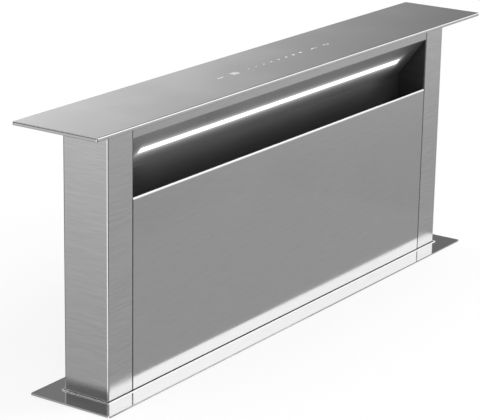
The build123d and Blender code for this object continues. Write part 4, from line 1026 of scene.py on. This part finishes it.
dress_folded(zinc, "zinc_steel", 0.0010, 0.0, "blower_box")
pressed_sheet("blower_cover_pressed", "blower_cover", 0.004, cover_press, zinc)
dress(black_plastic, "scroll_front", "scroll_back", "fan_wheel")
dress(casing, "fan_motor")
dress(steel, "fan_shaft")
dress(zinc, "motor_spider")

# ---- Spigot and damper ----
# A rolled zinc-coated collar for a 150 mm duct with a stiffening bead near its end. Two aluminium
# half-discs on one steel axle close it, pressed shut by a small coil spring.
duct_y, duct_z = -0.146, -0.197
spigot_axis = Matrix.Translation((0, duct_y, duct_z)) @ Matrix.Rotation(math.radians(90), 4, "Y")
outer, inner = 0.074, 0.0725
spigot_profile = [
    (0.210, inner), (0.210, 0.0855), (0.2105, 0.086), (0.2115, 0.086), (0.212, 0.0855),
    (0.212, 0.0745), (0.2125, outer),
]
bead_middle, bead_step, bead_steps, bead_rise = 0.277, 0.0005, 6, 0.0014
for step in range(-bead_steps, bead_steps + 1):
    rise = bead_rise * math.cos(math.pi * step / (2 * bead_steps))
    spigot_profile.append((bead_middle + bead_step * step, outer + rise))
edge_round = 0.0004
spigot_profile += [
    (0.2895, outer), (0.290, outer - edge_round), (0.290, inner + edge_round), (0.2895, inner),
]
spigot = lathe_mesh("duct_spigot_rolled", spigot_profile, 96, None, spigot_axis, ring=True)
placed("duct_spigot_rolled", spigot, "chassis", zinc, ("duct_spigot",))
dress(aluminium, "damper_flap_front", "damper_flap_back")
dress(steel, "damper_axle")
spring_steel = surface("spring_steel", (0.33, 0.33, 0.35), 0.28, speckle, 1.0, Contrast=0.06)
coil = bpy.data.curves.new("damper_coil", "CURVE")
coil.dimensions = "3D"
coil.bevel_depth = 0.0004
coil.bevel_resolution = 3
line = coil.splines.new("POLY")
axle_x, coil_low, coil_high = 0.220, -0.2006, -0.1934
coil_turns, coil_points, coil_radius = 9, 24, 0.0026
line.points.add(coil_turns * coil_points)
for number, point in enumerate(line.points):
    angle = math.tau * number / coil_points
    z = coil_low + (coil_high - coil_low) * number / (coil_turns * coil_points)
    x, y = axle_x + coil_radius * math.cos(angle), duct_y + coil_radius * math.sin(angle)
    point.co = (x, y, z, 1)
wire = linked("damper_coil", coil)
coil_mesh = baked(wire)
bpy.data.objects.remove(wire)
placed(
    "damper_spring_coil", coil_mesh, "chassis", spring_steel, ("damper_spring",)
)

# ---- Control box ----
# The electronics beside the blower: a folded zinc-coated box with a pressed lid, a board with its
# components, and a plastic gland for the supply lead.


def lid_press(x, z):
    """A raised field inside a flat rim, with two round knock-outs near the foot."""
    left, right, foot, head, field_rise = -0.380, -0.232, -0.300, -0.120, 0.0012
    ring_z, ring_radius, ring_depth = -0.262, 0.010, 0.0008
    edge = min(x - left, right - x, z - foot, head - z)
    field = -field_rise * eased(edge, 0.010, 0.014)
    for ring_x in (-0.342, -0.270):
        off = abs(math.hypot(x - ring_x, z - ring_z) - ring_radius)
        field += ring_depth * (1 - eased(off, 0.0006, 0.0022))
    return field


dress_folded(zinc, "zinc_steel", 0.0010, 0.0, "control_box")
pressed_sheet("control_lid_pressed", "control_lid", 0.002, lid_press, zinc)
board_front_y = -0.0545
board_mesh = nodes["control_board"].data
dress_faces(board_mesh, black_plastic, lambda face: face.center.y < board_front_y)
nut_radius, dome_radius, rib_depth, rib_count = 0.009, 0.0078, 0.0004, 24


def shape_gland(index, z, radius, angle):
    """The gland's hexagon nut and the ribs of its dome."""
    if radius == nut_radius:
        return radius * math.cos(math.pi / 6) / math.cos(angle % (math.pi / 3) - math.pi / 6)
    if radius == dome_radius:
        return radius - rib_depth * (math.cos(rib_count * angle) < 0)
    return radius


gland_profile = [
    (-0.2985, 0.004), (-0.3155, 0.004), (-0.316, 0.0046), (-0.3155, 0.0056), (-0.3135, 0.0070),
    (-0.3128, dome_radius), (-0.3085, dome_radius), (-0.3083, 0.0074), (-0.3078, nut_radius),
    (-0.3015, nut_radius), (-0.3013, 0.0079), (-0.3000, 0.0079), (-0.3000, 0.0070),
    (-0.2985, 0.0070),
]
gland_axis = Matrix.Translation((-0.353, -0.071, 0))
gland = lathe_mesh("supply_gland_ribbed", gland_profile, 144, shape_gland, gland_axis, ring=True)
placed("supply_gland_ribbed", gland, "chassis", black_plastic, ("supply_gland",))

# ---- Screws and weld marks ----
# Zinc-plated pan-head screws with cross recesses hold the case, the blower, its cover and the
# back panel; flat round marks show where the case's folds are spot-welded.


def cross_recess(index, z, radius, angle):
    """The recess's outline, a cross, on the screw's innermost rows."""
    first_recess_row = 10
    if index < first_recess_row:
        return radius
    off = math.radians(45) - abs(math.radians(45) - angle % math.radians(90))
    return radius * min(1 / math.cos(off), 0.27 / max(0.01, math.sin(off)))


def screw_mesh(name, head, height, shank, length):
    """A pan-head screw of real proportions, head up, its seat at z 0."""
    profile = [(-length, 0), (-length, shank * 0.7), (-length * 0.92, shank), (-0.0001, shank)]
    shares = (
        (0, 0.94), (0.08, 1), (0.35, 1), (0.72, 0.88), (0.92, 0.66), (1, 0.57), (1, 0.52),
        (0.9, 0.50), (0.35, 0.34), (0.25, 0),
    )
    profile += [(height * up, head * out) for up, out in shares]
    return lathe_mesh(name, profile, 24, cross_recess)


case_rows = (-0.030, -0.150, -0.270, -0.390, -0.510)
hem_x, case_y = 0.3928, 0.046
box_flange_x, box_flange_y, cover_x, cover_y = 0.216, -0.047, 0.203, -0.247
screw_spots = []
for side_x in (-1, 1):
    for z in case_rows:
        for side_y in (-1, 1):
            screw_spots.append(((side_x * hem_x, side_y * case_y, z), (0, side_y, 0), (1, 0, 1)))
    for z in (-0.094, -0.260, -0.426):
        screw_spots.append(((side_x * box_flange_x, box_flange_y, z), (0, -1, 0), (1, 0, 0.4)))
    for z in (-0.107, -0.260, -0.413):
        screw_spots.append(((side_x * cover_x, cover_y, z), (0, -1, 0), (1, 0, -0.3)))
for z in (-0.094, -0.426):
    screw_spots.append(((0, box_flange_y, z), (0, -1, 0), (1, 0, 0.2)))
plated = surface("zinc_plated", (0.58, 0.58, 0.56), 0.30, speckle, 1.0, Contrast=0.06)
case_screw = screw_mesh("case_screw", head=0.004, height=0.0022, shank=0.002, length=0.006)
repeated(
    "case_screws_pan_head", case_screw, screw_spots, "chassis", plated,
    ("chassis_screws",),
)
strip_x, strip_y = 0.33695, 0.02865
panel_spots = []
for side in (-1, 1):
    for z in (-0.020, 0.060, 0.140, 0.250, 0.322):
        panel_spots.append(((side * strip_x, strip_y, z), (-side, 0, 0), (0, 1, 0.3)))
panel_screw = screw_mesh("panel_screw", head=0.0028, height=0.0016, shank=0.0016, length=0.006)
repeated(
    "panel_screws_pan_head", panel_screw, panel_spots, "riser", plated,
    ("panel_screws",),
)
weld_profile = [(0, 0.0028), (0.0001, 0.0026), (0.00012, 0.0021), (0.00004, 0.0018), (0.00003, 0)]
weld_start_z, weld_pitch, weld_count, screw_clearance = -0.045, 0.024, 20, 0.010
weld_spots = []
for side_y in (-1, 1):
    for side_x in (-1, 1):
        for number in range(weld_count):
            z = weld_start_z - weld_pitch * number
            if min(abs(z - row) for row in case_rows) > screw_clearance:
                place = (side_x * hem_x, side_y * case_y, z)
                weld_spots.append((place, (0, side_y, 0), (1, 0, 0)))
weld = lathe_mesh("weld_mark", weld_profile, 20)
repeated("case_weld_marks", weld, weld_spots, "chassis", plated)
